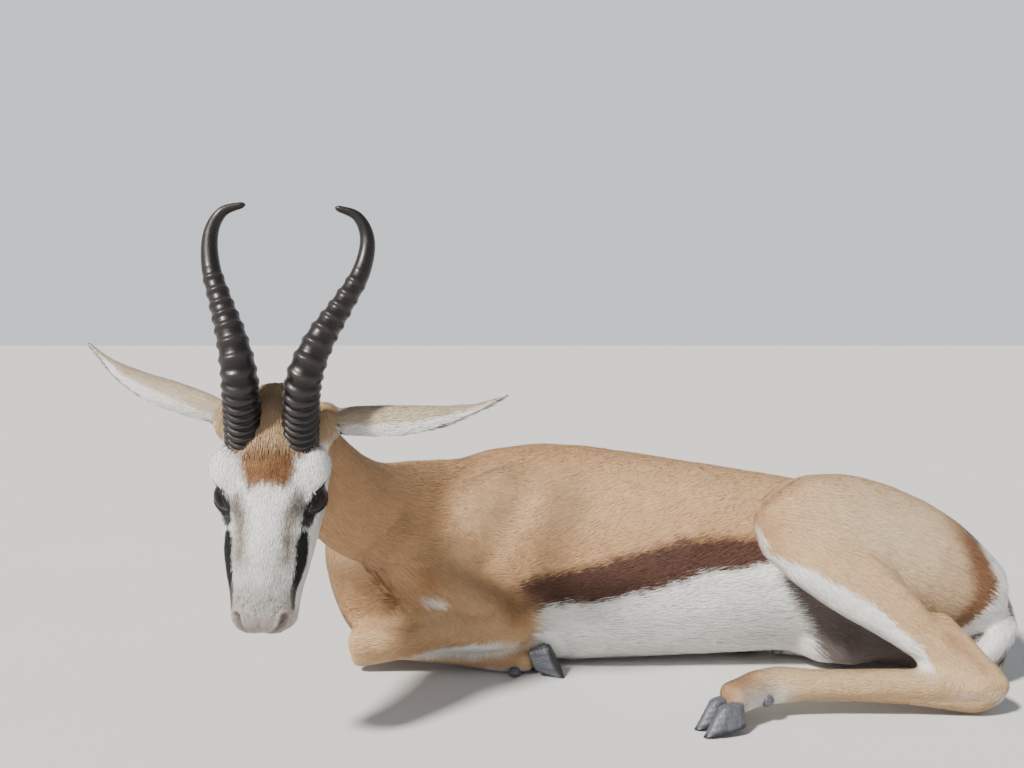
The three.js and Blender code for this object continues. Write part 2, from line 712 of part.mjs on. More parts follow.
const upperLeg = [leftThighCut, leftShankCut, leftHindFootCut];
addPart('right_hind_foot', cut(hindFootSolid(RIGHT_HIND), ...upperLeg), COLOURS.tan);
const rightFoot = [rightHindFootCut, ...tuckedClaws];
addPart('right_hind_thigh', cut(rightThighSolid(), ...upperLeg, ...rightFoot), COLOURS.tan);
addPart('right_hind_shank', cut(rightShankSolid(), ...upperLeg, ...rightFoot, rightThighCut), COLOURS.tan);
addClaws('right_hind', RIGHT_HIND, rightHindFootCut);

addPart('tail', cut(tailSolid(), trunkCut, ...upperLeg, ...tuckedLeg), COLOURS.white);

// Stand the animal over the origin
const middle = new THREE.Box3().setFromObject(group).getCenter(new THREE.Vector3());
for (const mesh of group.children) mesh.geometry.translate(-middle.x, -middle.y, 0);

export default group;
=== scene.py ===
"""A life-size springbok ram lying on its right side, its head raised and turned to its left.

One skin stands for the nodes of flesh, and a coat of solid tufts lies over it.
Eyes, horns, hooves and dewclaws are finer pieces in place of their own nodes.
Shapes are worked out in millimetres, in the axes that the CAD part was drawn in before it was centred.
"""

import json

import bpy
import numpy as np
from mathutils import Matrix, Vector
from mathutils.bvhtree import BVHTree

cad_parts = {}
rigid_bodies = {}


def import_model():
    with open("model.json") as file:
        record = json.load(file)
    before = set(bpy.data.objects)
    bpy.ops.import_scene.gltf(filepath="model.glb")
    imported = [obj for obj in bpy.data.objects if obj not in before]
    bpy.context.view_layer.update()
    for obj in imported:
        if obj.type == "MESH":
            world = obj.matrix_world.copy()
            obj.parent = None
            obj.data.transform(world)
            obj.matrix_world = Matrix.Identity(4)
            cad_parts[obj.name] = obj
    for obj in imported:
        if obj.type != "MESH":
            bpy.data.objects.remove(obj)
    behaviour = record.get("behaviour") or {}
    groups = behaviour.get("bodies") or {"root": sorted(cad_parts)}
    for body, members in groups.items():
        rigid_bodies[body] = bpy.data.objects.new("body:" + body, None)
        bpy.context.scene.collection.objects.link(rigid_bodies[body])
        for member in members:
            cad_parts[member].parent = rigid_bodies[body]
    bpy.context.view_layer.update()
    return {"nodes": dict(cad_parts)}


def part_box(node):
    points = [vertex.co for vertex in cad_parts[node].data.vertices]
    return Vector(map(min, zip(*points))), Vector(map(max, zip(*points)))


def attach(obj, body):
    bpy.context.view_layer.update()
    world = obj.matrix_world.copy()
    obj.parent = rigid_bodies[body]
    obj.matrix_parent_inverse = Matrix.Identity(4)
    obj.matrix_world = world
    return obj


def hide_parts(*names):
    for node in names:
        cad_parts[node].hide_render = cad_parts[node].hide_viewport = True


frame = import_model()
random = np.random.default_rng(7)

# Camera that took the photograph
IMAGE_WIDTH = 1024
FOCAL_PIXELS = 1050
SENSOR = 36
CAMERA_AT = (0, -1300, 450)
CAMERA_PITCH = 4.6

# Head frame: origin on the face between the horns, axes down the face, to its left and out of it
HEAD_AT = np.array([-234.5, -300.0, 307.0])
HEAD_NOD = 12.5
HEAD_TURN = 2.8
HEAD_ROLL = 1.8

EYE_NODE_AT = (44, 43, -29)
EYE_AT = np.array([44.0, 38.8, -29.0])
EYE_RADIUS = 15.5
GAZE = np.array([-0.06, 0.9, 0.38])
LID_CORNER = np.array([0.82, 0.0, 0.57])  # from the eye towards its inner corner
LID_HALF = 16.5
LID_UPPER = 8.2
LID_LOWER = 6.4

HORN_SPREAD = 28
HORN_RADII = (17.2, 17.2, 17, 14.2, 11, 9, 7.3, 5.2, 2.8)
HORN_LEAN = (8.7, 220)
# Heights above the base of the grooves between the rings
HORN_GROOVES = (-4, 2, 8, 12.5, 18, 24, 30, 36, 42, 49, 57, 67, 79, 93, 108, 120, 132, 144.5, 158.5, 172.5,
                182)

EAR_WIDTH = 56
EAR_DROOP = 12
HOOF_TOP = (12, 17, 8.5)
HOOF_SOLE = (34, 15, 9.6)
HOOF_SPREAD = 10.2
DEWCLAW = 8
DEWCLAW_FORE = 17
DEWCLAW_HIND = 22

SUN_WAY = (0.52, 0.5, -0.72)
SUN_WIDTH = 7
SUN_POWER = 7.4
SUN_COLOUR = (1, 0.965, 0.91)
SKY = [(0.28, (0.86, 0.89, 0.93)), (0.6, (0.26, 0.29, 0.34))]  # bright low down, dimmer overhead
FLOOR_HALF = 9000

# Least heights above the floor
SKIN_CLEAR = 0.4
TUFT_CLEAR = 0.3
HOOF_CLEAR = 0.05

VOXEL = 3.5  # first mesh of the skin
GROW = 0.6  # closes the gaps between the nodes

# Albedos, linear
TAN = (0.45, 0.262, 0.128)
TAN_PALE = (0.56, 0.39, 0.22)
TAN_DEEP = (0.27, 0.12, 0.045)
CHESTNUT = (0.07, 0.029, 0.018)
WHITE = (0.8, 0.785, 0.755)
CRESCENT = tuple(0.55 * tan + 0.45 * dark for tan, dark in zip(TAN_DEEP, CHESTNUT))
BROWN = (0.17, 0.075, 0.027)
BLACK = (0.009, 0.008, 0.008)
GREY = (0.2, 0.175, 0.145)
NOSE = (0.3, 0.25, 0.225)
POLL = (0.4, 0.285, 0.17)
LIP = (0.42, 0.24, 0.215)
# Painted sunlight: a pale pool of light on the left haunch
SUNLIT_HAUNCH = (0.62, 0.47, 0.31)
# Dark groin skin, and also painted shade in the hollow between the belly and the hind legs
GROIN_SKIN_AND_SHADE = (0.1, 0.066, 0.056)
FOREHEAD = (0.25, 0.125, 0.05)
SPOT = (0.08, 0.062, 0.043)
MUZZLE = (0.2, 0.18, 0.16)
STREAK = (0.15, 0.115, 0.08)
EAR_BACK = (0.5, 0.4, 0.275)
# Grey inner skin of the ear, darkened as painted shade in the cup
EAR_INSIDE_AND_SHADE = (0.3, 0.255, 0.235)
IRIS = (0.016, 0.008, 0.0045)
IRIS_EDGE = (0.006, 0.004, 0.003)
EYE_RIM = (0.022, 0.016, 0.014)
PUPIL = (0.002, 0.002, 0.003)
PUPIL_SIZE = (0.34, 0.2)  # half-width and half-height, for an eyeball of radius 1
FLOOR = (0.62, 0.61, 0.59)

LEGS = {
    "left_fore": {
        "shoulder": (-116, -72, 136), "elbow": (-8, -72, 64), "carpus": (-186, -58, 34),
        "cannonEnd": (-14, -56, 14), "rim": (22, -62, 17), "hoofTop": (26, -63, 17), "sole": (47, -67, 27),
        "toeward": (0.3, 0, -0.95), "outward": (0.2, -1, 0),
    },
    "right_fore": {
        "shoulder": (-130, 84, 84), "elbow": (-40, 128, 46), "carpus": (-196, 92, 30),
        "cannonEnd": (-36, 156, 14), "rim": (-2, 170, 17), "hoofTop": (2, 172, 17), "sole": (22, 181, 27),
        "toeward": (0.28, 0.12, -0.95), "outward": (-0.4, 0.9, 0),
    },
    "left_hind": {
        "stifle": (292, -142, 193), "hock": (499, -190, 34), "heel": (530, -192, 30),
        "cannonEnd": (278, -194, 34), "rim": (229, -226, 30), "hoofTop": (222, -231, 28),
        "sole": (226, -233, 6),
        "toeward": (-0.94, -0.3, -0.16), "outward": (0.3, -0.95, 0),
    },
    "right_hind": {
        "stifle": (368, -36, 53), "hock": (546, -92, 32), "heel": (572, -96, 28),
        "cannonEnd": (352, -2, 22), "rim": (314, 12, 20), "hoofTop": (304, 16, 24), "sole": (307, 15, 5),
        "toeward": (-0.92, 0.36, -0.14), "outward": (-0.35, -0.93, 0),
    },
}
EARS = {
    "left_ear": {"root": (-40, 48, -50), "tip": (0, -254, 357), "back": (0.05, -0.1, 1)},
    "right_ear": {"root": (-43, -48, -50), "tip": (-447, -199, 408), "back": (0.2, 0.1, 1)},
}

# Middle of the trunk at stations along it, with its roll about +X in degrees
TRUNK_AXIS = np.array([
    (-213, 2, 104, 24), (-80, 27, 114, 30), (60, 36, 124, 36), (210, 33, 121, 45),
    (370, 14, 115, 50), (520, -2, 92, 48), (562, -10, 98, 46),
], float)
NECK_PATH = [(-58, 22, 161), (-114, -26, 178), (-162, -92, 202), (-196, -154, 240), (-220, -205, 285),
             (-230, -232, 312)]
TAIL_PATH = [(552, 26, 152), (584, 12, 122), (596, -24, 88), (590, -64, 66), (570, -97, 53), (540, -116, 36)]


def head_matrix():
    turn = Matrix.Rotation(np.radians(HEAD_TURN), 3, "Z")
    roll = Matrix.Rotation(np.radians(HEAD_ROLL), 3, "Y")
    nod = Matrix.Rotation(np.radians(-HEAD_NOD), 3, "X")
    return np.array(turn @ roll @ nod)


# Rows are down the face, to its left and out of it
HEAD_AXES = np.array([(0, 0, -1), (1, 0, 0), (0, -1, 0)]) @ head_matrix().T


def on_head(points):
    return HEAD_AT + np.asarray(points, float) @ HEAD_AXES


def head_coords(points):
    return (points - HEAD_AT) @ HEAD_AXES.T


def unit(vectors):
    vectors = np.asarray(vectors, float)
    return vectors / np.maximum(np.linalg.norm(vectors, axis=-1, keepdims=True), 1e-9)


# The CAD is centred on its own box, and the left eye shows by how much
eye_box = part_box("left_eye")
ORIGIN = on_head(EYE_NODE_AT) - 500 * np.array(eye_box[0] + eye_box[1])


def world(points):
    """Metres in the frame from millimetres in the part's own axes."""
    return (np.asarray(points, float) - ORIGIN) * 0.001


def own(points):
    """The other way round."""
    return np.asarray(points, float) * 1000 + ORIGIN


# Small tools


def smoothstep(low, high, value):
    """0 at low and 1 at high, which may be the smaller of the two."""
    t = np.clip((value - low) / (high - low), 0, 1)
    return t * t * (3 - 2 * t)


def above(value, edge, width):
    """0 below the edge, 1 above it."""
    return smoothstep(edge - width, edge + width, value)


def below(value, edge, width):
    """1 below the edge, 0 above it."""
    return 1 - above(value, edge, width)


def window(value, rise, full, fade, gone):
    """0 up to rise, 1 from full to fade, and 0 again past gone."""
    return smoothstep(rise, full, value) * smoothstep(gone, fade, value)


def bell(value, width):
    """1 at zero, and almost nothing from twice the width on."""
    return np.exp(-((value / width) ** 2))


def profile(places, table):
    """What a table of (place, value) gives for some places, in a straight line between its rows."""
    return np.interp(places, *zip(*table))


def dots(a, b):
    """The dot product of each pair of rows."""
    return np.einsum("ij,ij->i", a, b)


def mix(a, b, share):
    a, b = np.asarray(a, float), np.asarray(b, float)
    share = np.asarray(share, float)
    if max(a.ndim, b.ndim) > share.ndim or a.shape[-1:] == (3,):
        share = share[..., None]
    return a + (b - a) * share


def through(points):
    """A smooth curve through the points, at u from 0 to 1."""
    knots = np.asarray(points, float)
    padded = np.vstack([2 * knots[0] - knots[1], knots, 2 * knots[-1] - knots[-2]])

    def at(u):
        t = np.clip(np.asarray(u, float), 0, 1) * (len(knots) - 1)
        i = np.minimum(t.astype(int), len(knots) - 2)
        w = (t - i)[..., None]
        before, first, second, after = (padded[i + k] for k in range(4))
        leave, arrive = (second - before) / 2, (after - first) / 2
        cubic = 2 * first - 2 * second + leave + arrive
        square = -3 * first + 3 * second - 2 * leave - arrive
        return ((cubic * w + square) * w + leave) * w + first

    return at


def lattice(cells, seed):
    """A repeatable value from 0 to 1 for each cell of a grid."""
    mixed = cells.astype(np.int64) @ np.array([73856093, 19349663, 83492791]) + seed * 2654435761
    mixed = (mixed ^ (mixed >> 13)) * 1274126177
    mixed = mixed ^ (mixed >> 16)
    return (mixed & 0xFFFFFF) / 0xFFFFFF


def noise(points, size, seed=0):
    """Smooth noise from -1 to 1 with features of the given size."""
    scaled = np.asarray(points, float) / size
    cell = np.floor(scaled)
    part = scaled - cell
    part = part * part * (3 - 2 * part)
    total = np.zeros(len(scaled))
    for corner in np.ndindex(2, 2, 2):
        offset = np.array(corner)
        weight = np.prod(np.where(offset == 1, part, 1 - part), axis=1)
        total += weight * lattice(cell + offset, seed)
    return 2 * total - 1


def along_path(points, path):
    """Distance along a polyline, the tangent there and the offset from it, for the nearest point of it."""
    path = np.asarray(path, float)
    best = np.full(len(points), np.inf)
    run, tangent, offset = np.zeros(len(points)), np.zeros_like(points), np.zeros_like(points)
    start = 0.0
    for a, b in zip(path[:-1], path[1:]):
        length = np.linalg.norm(b - a)
        t = np.clip((points - a) @ (b - a) / length**2, 0, 1)
        away = points - (a + t[:, None] * (b - a))
        distance = dots(away, away)
        nearer = distance < best
        best[nearer] = distance[nearer]
        run[nearer] = start + t[nearer] * length
        tangent[nearer] = (b - a) / length
        offset[nearer] = away[nearer]
        start += length
    return run, tangent, offset


def around_path(tangent, offset):
    """The angle of an offset round its path, 0 at the top."""
    up = unit(np.array([0.0, 0.0, 1.0]) - tangent * tangent[:, 2:3])
    side = np.cross(tangent, up)
    return np.arctan2(dots(offset, side), dots(offset, up))


# Closed meshes, as (points, triangles)


def tube(rings, start, end):
    """Triangles over an array of rings of points, with a pole at either end."""
    count, sides = rings.shape[:2]
    points = np.vstack([start, rings.reshape(-1, 3), end])
    j = np.arange(sides)
    k = (j + 1) % sides
    first = np.zeros(sides, int)
    last = first + len(points) - 1
    tail = 1 + (count - 1) * sides
    faces = [np.stack([first, 1 + k, 1 + j], 1), np.stack([last, tail + j, tail + k], 1)]
    base = 1 + np.arange(count - 1)[:, None] * sides
    a, b = base + j, base + k
    faces.append(np.stack([a, b, a + sides], 2).reshape(-1, 3))
    faces.append(np.stack([b, b + sides, a + sides], 2).reshape(-1, 3))
    return points, np.vstack(faces)


def loft(stations, rings, sides, caps):
    """A rounded bar through stations (at, up, [upper, lower, side], power), as part.mjs makes one."""
    spine, ups, sizes = (through([s[i] for s in stations]) for i in range(3))
    powers = through([[s[3], 0, 0] for s in stations])
    angle = 2 * np.pi * np.arange(sides) / sides
    step = 1e-3
    dome = np.sin(np.linspace(0.12, 0.5, 6) * np.pi)

    def ring(u, scale, shift):
        clamped = np.clip(u, step, 1 - step)
        along = unit(spine(clamped + step) - spine(clamped - step))
        up = unit(ups(u) - along * (ups(u) @ along))
        side = np.cross(up, along)
        size = sizes(u) * scale
        power = powers(u)[0]
        sine, cosine = np.sin(angle), np.cos(angle)
        high = np.sign(sine) * np.abs(sine) ** (2 / power) * np.where(sine > 0, size[0], size[1])
        wide = np.sign(cosine) * np.abs(cosine) ** (2 / power) * size[2]
        centre = spine(u) + along * shift
        return centre + high[:, None] * up + wide[:, None] * side

    body = [ring(0, s, -caps[0] * np.sqrt(1 - s * s)) for s in dome[:-1]]
    body += [ring(u, 1, 0) for u in np.linspace(0, 1, rings + 1)]
    body += [ring(1, s, caps[1] * np.sqrt(1 - s * s)) for s in dome[-2::-1]]
    start = ring(0, 1e-3, -caps[0]).mean(0)
    end = ring(1, 1e-3, caps[1]).mean(0)
    return tube(np.array(body), start, end)


def ellipsoid(centre, axes, radii, sides=28, rings=18):
    """An ellipsoid whose first axis carries the poles."""
    polar = np.pi * np.arange(1, rings) / rings
    turn = 2 * np.pi * np.arange(sides) / sides
    along = np.cos(polar)[:, None] * np.ones(sides)
    across = np.sin(polar)[:, None] * np.cos(turn)
    third = np.sin(polar)[:, None] * np.sin(turn)
    shape = np.stack([along * radii[0], across * radii[1], third * radii[2]], 2)
    pole = np.array([radii[0], 0, 0]) @ axes
    return tube(shape @ axes + centre, centre + pole, centre - pole)


def joined(meshes):
    points, faces, start = [], [], 0
    for some, triangles in meshes:
        points.append(some)
        faces.append(triangles + start)
        start += len(some)
    return np.vstack(points), np.vstack(faces)


def vertex_normals(points, faces):
    a, b, c = (points[faces[:, i]] for i in range(3))
    cross = np.cross(b - a, c - a)
    index = faces.ravel()
    total = np.stack([np.bincount(index, np.repeat(cross[:, i], 3), len(points)) for i in range(3)], 1)
    return unit(total)


def edges_of(faces):
    pairs = np.sort(np.vstack([faces[:, [0, 1]], faces[:, [1, 2]], faces[:, [2, 0]]]), axis=1)
    return np.unique(pairs, axis=0)


def neighbour_mean(values, edges):
    """The mean of each vertex's neighbours, for one value or several."""
    values = np.asarray(values, float)
    columns = values.reshape(len(values), -1)
    count = np.bincount(edges.ravel(), minlength=len(values))
    sums = np.empty_like(columns)
    for i in range(columns.shape[1]):
        column = columns[:, i]
        sums[:, i] = np.bincount(edges[:, 0], column[edges[:, 1]], len(values))
        sums[:, i] += np.bincount(edges[:, 1], column[edges[:, 0]], len(values))
    return (sums / np.maximum(count, 1)[:, None]).reshape(values.shape)


def relaxed(values, edges, passes, strength=None):
    """Values after some passes towards the neighbours' mean, by a share of 0.6 times strength."""
    share = 0.6 if strength is None else 0.6 * strength[:, None]
    for _ in range(passes):
        values = values + share * (neighbour_mean(values, edges) - values)
    return values


def refined(points, faces, chosen):
    """The chosen triangles split in four, and their neighbours in two or three to match."""
    ends = np.sort(np.stack([faces, np.roll(faces, -1, axis=1)], 2), axis=2)
    key = ends[..., 0].astype(np.int64) * len(points) + ends[..., 1]
    split = np.unique(key[chosen])
    slot = np.minimum(np.searchsorted(split, key), len(split) - 1)
    hit = split[slot] == key
    middle = len(points) + slot
    new = (points[split // len(points)] + points[split % len(points)]) / 2
    count = hit.sum(1)

    def turned(rows, wanted):
        """Those triangles turned so that the edge whose hit is wanted comes first."""
        shift = np.argmax(hit[rows] == wanted, axis=1)
        order = (np.arange(3) + shift[:, None]) % 3
        index = rows[:, None]
        return faces[index, order], middle[index, order]

    result = [faces[count == 0]]
    f, m = faces[count == 3], middle[count == 3]
    result += [np.stack([f[:, 0], m[:, 0], m[:, 2]], 1), np.stack([m[:, 0], f[:, 1], m[:, 1]], 1)]
    result += [np.stack([m[:, 2], m[:, 1], f[:, 2]], 1), m]
    f, m = turned(np.flatnonzero(count == 1), True)
    result += [np.stack([f[:, 0], m[:, 0], f[:, 2]], 1), np.stack([m[:, 0], f[:, 1], f[:, 2]], 1)]
    f, m = turned(np.flatnonzero(count == 2), False)
    result += [np.stack([f[:, 0], f[:, 1], m[:, 1]], 1), np.stack([f[:, 0], m[:, 1], m[:, 2]], 1)]
    result += [np.stack([m[:, 2], m[:, 1], f[:, 2]], 1)]
    return np.vstack([points, new]), np.vstack(result)


def scene_object(name, data):
    made = bpy.data.objects.new(name, data)
    bpy.context.scene.collection.objects.link(made)
    return made


def mesh_object(name, points, faces):
    """A smooth-shaded object from points in millimetres and faces of one length each."""
    mesh = bpy.data.meshes.new(name)
    mesh.vertices.add(len(points))
    mesh.vertices.foreach_set("co", world(points).astype(np.float32).ravel())
    mesh.loops.add(faces.size)
    mesh.loops.foreach_set("vertex_index", faces.astype(np.int32).ravel())
    mesh.polygons.add(len(faces))
    mesh.polygons.foreach_set("loop_start", np.arange(0, faces.size, faces.shape[1], dtype=np.int32))
    mesh.update(calc_edges=True)
    return scene_object(name, mesh)


def mesh_arrays(mesh):
    """Points in millimetres and triangles of a mesh."""
    mesh.calc_loop_triangles()
    points = np.empty(len(mesh.vertices) * 3, np.float32)
    mesh.vertices.foreach_get("co", points)
    faces = np.empty(len(mesh.loop_triangles) * 3, np.int32)
    mesh.loop_triangles.foreach_get("vertices", faces)
    return own(points.reshape(-1, 3)), faces.reshape(-1, 3)


def arrays(made):
    """The same of an object with its modifiers applied."""
    bpy.context.view_layer.update()
    seen = made.evaluated_get(bpy.context.evaluated_depsgraph_get())
    points, faces = mesh_arrays(seen.to_mesh())
    seen.to_mesh_clear()
    return points, faces


def discard(made):
    bpy.data.objects.remove(made)


def paint(mesh, name, colours):
    """A colour for each vertex."""
    layer = mesh.color_attributes.new(name=name, type="FLOAT_COLOR", domain="POINT")
    rgba = np.ones((len(colours), 4), np.float32)
    rgba[:, :3] = colours
    layer.data.foreach_set("color", rgba.ravel())


def note(mesh, name, values):
    """A number for each vertex."""
    layer = mesh.attributes.new(name, "FLOAT", "POINT")
    layer.data.foreach_set("value", np.asarray(values, np.float32))


def map_points(mesh, name, coordinates):
    """A UV map from one place for each vertex."""
    layer = mesh.uv_layers.new(name=name)
    index = np.empty(len(mesh.loops), np.int32)
    mesh.loops.foreach_get("vertex_index", index)
    layer.uv.foreach_set("vector", np.asarray(coordinates, np.float32)[index].ravel())


# Flesh


def node_mesh(name):
    """A CAD node with its split corners joined, grown a little along its normals."""
    points, faces = mesh_arrays(frame["nodes"][name].data)
    _, first, same = np.unique(np.round(points, 3), axis=0, return_index=True, return_inverse=True)
    points, faces = points[first], same.reshape(-1)[faces]
    return points + GROW * vertex_normals(points, faces), faces


# Sections of the head: place down the face, front, back, half-width and squareness
HEAD_SECTIONS = [
    (-58, -26, -72, 27, 2.0), (-40, -10, -88, 38, 2.1), (-16, -2, -104, 47, 2.2), (8, 0, -114, 52, 2.3),
    (30, 0, -113, 52, 2.4), (52, 0, -102, 49, 2.5), (76, 1, -86, 46.5, 2.5), (100, 1, -70, 43, 2.5),
    (122, 1, -59, 38, 2.5), (142, -1, -54, 34, 2.4), (162, -6, -51, 32.5, 2.3),
]
# Middle and radii of the swells on the left: brow, rim of the eye, cheek and root of the ear
HEAD_SWELLS = [
    ((20, 42, -22), (27, 19, 17)), ((46, 37, -32), (24, 17, 19)), ((44, 30, -76), (42, 17, 30)),
    ((-32, 46, -50), (24, 19, 20)),
]


def head_solids():
    """The head in finer steps than the CAD: the wedge of the face, and its swells on either side."""
    stations = []
    for down, front, back, half, power in HEAD_SECTIONS:
        thick = (front - back) / 2
        stations.append((on_head((down, 0, (front + back) / 2)), HEAD_AXES[2], [thick, thick, half], power))
    solids = [loft(stations, 60, 48, (14, 14))]
    for side in (-1, 1):
        for (down, left, out), radii in HEAD_SWELLS:
            solids.append(ellipsoid(on_head((down, side * left, out)), HEAD_AXES, radii))
    return solids


def ear_axes(ear):
    base = on_head(EARS[ear]["root"])
    axis = np.array(EARS[ear]["tip"]) - base
    length = np.linalg.norm(axis)
    axis = axis / length
    backward = np.array(EARS[ear]["back"])
    backward = unit(backward - axis * (backward @ axis))
    return base, length, axis, backward, np.cross(axis, backward)


# Part of the length, part of the full width, half angle of the cup
EAR_LEAF = through([
    (0, 0.5, 150), (0.14, 0.6, 130), (0.3, 0.72, 112), (0.48, 0.74, 96), (0.66, 0.56, 84), (0.84, 0.22, 74),
    (0.98, 0.05, 60),
])


def ear_sag(axis, part):
    """How far the middle of the blade hangs off the straight line from root to tip."""
    downward = unit(np.array([0.0, 0.0, -1.0]) + axis * axis[2])
    return EAR_DROOP * np.sin(np.pi * np.asarray(part) ** 1.6)[..., None] * downward


def ear_solid(ear):
    """A long cupped leaf, thin at its rim."""
    base, length, axis, backward, edge = ear_axes(ear)
    across = np.linspace(-1, 1, 26)
    coat, shell, rim_shell = 0.7, 2.8, 1.1  # depth of the hair, and thickness in the middle and at the rim
    rings = []
    for u in np.linspace(0, 0.985, 60):
        part, width, cup = EAR_LEAF(u)
        half = np.radians(cup)
        radius = width * EAR_WIDTH / 2 / np.sin(min(half, np.pi / 2))
        outer = radius - coat
        thickness = np.minimum(mix(shell, rim_shell, np.abs(across) ** 4), radius * 0.5)
        middle = base + axis * part * length - backward * radius * 0.6 + ear_sag(axis, part)
        angle = across * half

        def point(angle, reach):
            return middle + np.outer(np.cos(angle) * reach, backward) + np.outer(np.sin(angle) * reach, edge)

        rings.append(np.vstack([point(angle, outer), point(angle * 0.985, outer - thickness)[::-1]]))
    rings = np.array(rings)
    return tube(rings, rings[0].mean(0), rings[-1].mean(0) + axis * 2)


# Each part of the skin: passes of smoothing, depth of the coat, its path, and for its tufts
# their length, width, number in a square centimetre and lift
PARTS = {
    "trunk": (50, 3.2, TRUNK_AXIS[:, :3], 12, 1.15, 34, 0.075),
    "neck": (40, 3.6, NECK_PATH[::-1], 13, 1.15, 36, 0.085),
    "head": (5, 0.6, None, 6, 0.85, 75, 0.1),
    "left_ear": (0, 0, None, 8, 0.8, 50, 0.1),
    "right_ear": (0, 0, None, 8, 0.8, 50, 0.1),
    "left_fore_arm": (45, 2.2, None, 11, 1.1, 38, 0.08),
    "left_fore_forearm": (12, 1.2, None, 10, 1.2, 34, 0.1),
    "left_fore_foot": (6, 0.6, None, 7, 1, 42, 0.1),
    "right_fore_arm": (18, 1.8, None, 11, 1.4, 26, 0.1),
    "right_fore_forearm": (12, 1.2, None, 10, 1.2, 26, 0.1),
    "right_fore_foot": (6, 0.6, None, 7, 1, 32, 0.1),
    "left_hind_thigh": (40, 2.4, None, 11, 1.1, 36, 0.075),
    "left_hind_shank": (12, 1.2, None, 10, 1.2, 34, 0.1),
    "left_hind_foot": (6, 0.6, None, 8, 1, 42, 0.09),
    "right_hind_thigh": (20, 1.8, None, 12, 1.4, 24, 0.1),
    "right_hind_shank": (12, 1.2, None, 10, 1.2, 26, 0.1),
    "right_hind_foot": (6, 0.6, None, 7, 1, 30, 0.1),
    "tail": (5, 1.5, TAIL_PATH, 15, 1.3, 75, 0.12),
}
PART_NAMES = list(PARTS)
COLUMN = {name: i for i, name in enumerate(PART_NAMES)}


def part_path(name):
    """The line that a part is built round, in the direction that its coat lies."""
    if PARTS[name][2] is not None:
        return np.asarray(PARTS[name][2], float)
    if name == "head":
        return on_head([(-60, 0, -48), (40, 0, -50), (110, 0, -32), (176, 0, -28)])
    if name in EARS:
        return np.array([on_head(EARS[name]["root"]), EARS[name]["tip"]])
    side, end, part = name.split("_")
    leg = LEGS[f"{side}_{end}"]
    joints = {
        "arm": ("shoulder", "elbow"),
        "forearm": ("elbow", "carpus"),
        "thigh": ("stifle", "heel"),
        "shank": ("stifle", "hock"),
        "foot": ("carpus" if end == "fore" else "hock", "cannonEnd", "rim", "sole"),
    }[part]
    path = np.array([leg[j] for j in joints], float)
    if part == "thigh":
        path[0] = path[0] + (-10, 0, 10)
        path[1] = (570, path[0, 1] + 60, 92)
    return path


PATHS = {name: part_path(name) for name in PART_NAMES}
FLESH = [name for name in PART_NAMES if name != "head" and name not in EARS]

node_shapes = {name: node_mesh(name) for name in FLESH}
head_shape = joined(head_solids())
ear_shapes = {name: ear_solid(name) for name in EARS}


def nearest_part_weights(points):
    """For each point, 1 in the column of the part that it lies nearest to."""
    shapes = {**node_shapes, "head": head_shape, **ear_shapes}
    order = [name for name in PART_NAMES if name in shapes]
    owners = np.concatenate([np.full(len(shapes[n][1]), COLUMN[n]) for n in order])
    whole = joined([shapes[n] for n in order])
    tree = BVHTree.FromPolygons(whole[0].tolist(), whole[1].tolist())
    found = [tree.find_nearest(p)[2] for p in points.tolist()]
    weights = np.zeros((len(points), len(PART_NAMES)))
    weights[np.arange(len(points)), owners[found]] = 1
    return weights


def first_skin():
    """All flesh as one closed mesh of even triangles."""
    merged = mesh_object("merged", *joined([*node_shapes.values(), head_shape]))
    remesh = merged.modifiers.new("remesh", "REMESH")
    remesh.mode = "VOXEL"
    remesh.voxel_size = VOXEL * 0.001
    points, faces = arrays(merged)
    discard(merged)
    weights = relaxed(nearest_part_weights(points), edges_of(faces), 6)
    edges = edges_of(faces)
    passes = weights @ np.array([PARTS[n][0] for n in PART_NAMES], float)
    for step in range(int(passes.max())):
        live = np.clip(passes - step, 0, 1)
        points = relaxed(points, edges, 1, live)
    depth = weights @ np.array([PARTS[n][1] for n in PART_NAMES], float)
    points = points - depth[:, None] * vertex_normals(points, faces)
    return points, faces


def with_ears(points, faces):
    """The skin united with both ears, each root blended into the head."""
    skin = mesh_object("united", points, faces)
    for name, shape in ear_shapes.items():
        ear = mesh_object(name + "_tool", *shape)
        union = skin.modifiers.new(name, "BOOLEAN")
        union.operation = "UNION"
        union.solver = "MANIFOLD"
        union.object = ear
    points, faces = arrays(skin)
    for made in [skin] + [bpy.data.objects[name + "_tool"] for name in EARS]:
        discard(made)
    return points, faces


def shares_of_parts(weights):
    """Each part that has a share in some points: its name, their rows and the shares."""
    for name, column in COLUMN.items():
        rows = np.flatnonzero(weights[:, column] > 0.01)
        if len(rows):
            yield name, rows, weights[rows, column]


def path_length(path):
    return np.linalg.norm(np.diff(path, axis=0), axis=1).sum()


def polyline_distance(points, line):
    _, _, offset = along_path(points, line)
    return np.linalg.norm(offset, axis=1)


def face_coords(points):
    """Head coordinates with the right side of the face folded onto the left."""
    local = head_coords(points)
    side = np.sign(local[:, 1])
    local[:, 1] = np.abs(local[:, 1])
    return local, side


def in_face(local, top, bottom, half, back):
    """Whether places on the head lie in a box round the face."""
    down, left, out = local.T
    return (down > top) & (down < bottom) & (left < half) & (out > back)


def eye_coords(local):
    """Offsets from the middle of the eye: as vectors, above the corners, and 1 at the edge of the lids."""
    away = local - EYE_AT
    gaze = unit(GAZE)
    corner = unit(LID_CORNER - gaze * (LID_CORNER @ gaze))
    upper = np.cross(corner, gaze)
    if upper[0] > 0:
        upper = -upper
    x, y, z = away @ corner, away @ upper, away @ gaze
    reach = np.where(y > 0, LID_UPPER, LID_LOWER)
    q = (x / LID_HALF) ** 2 + np.abs(y / reach) ** 1.4
    return away, y, np.where(z > 0, q, 99)


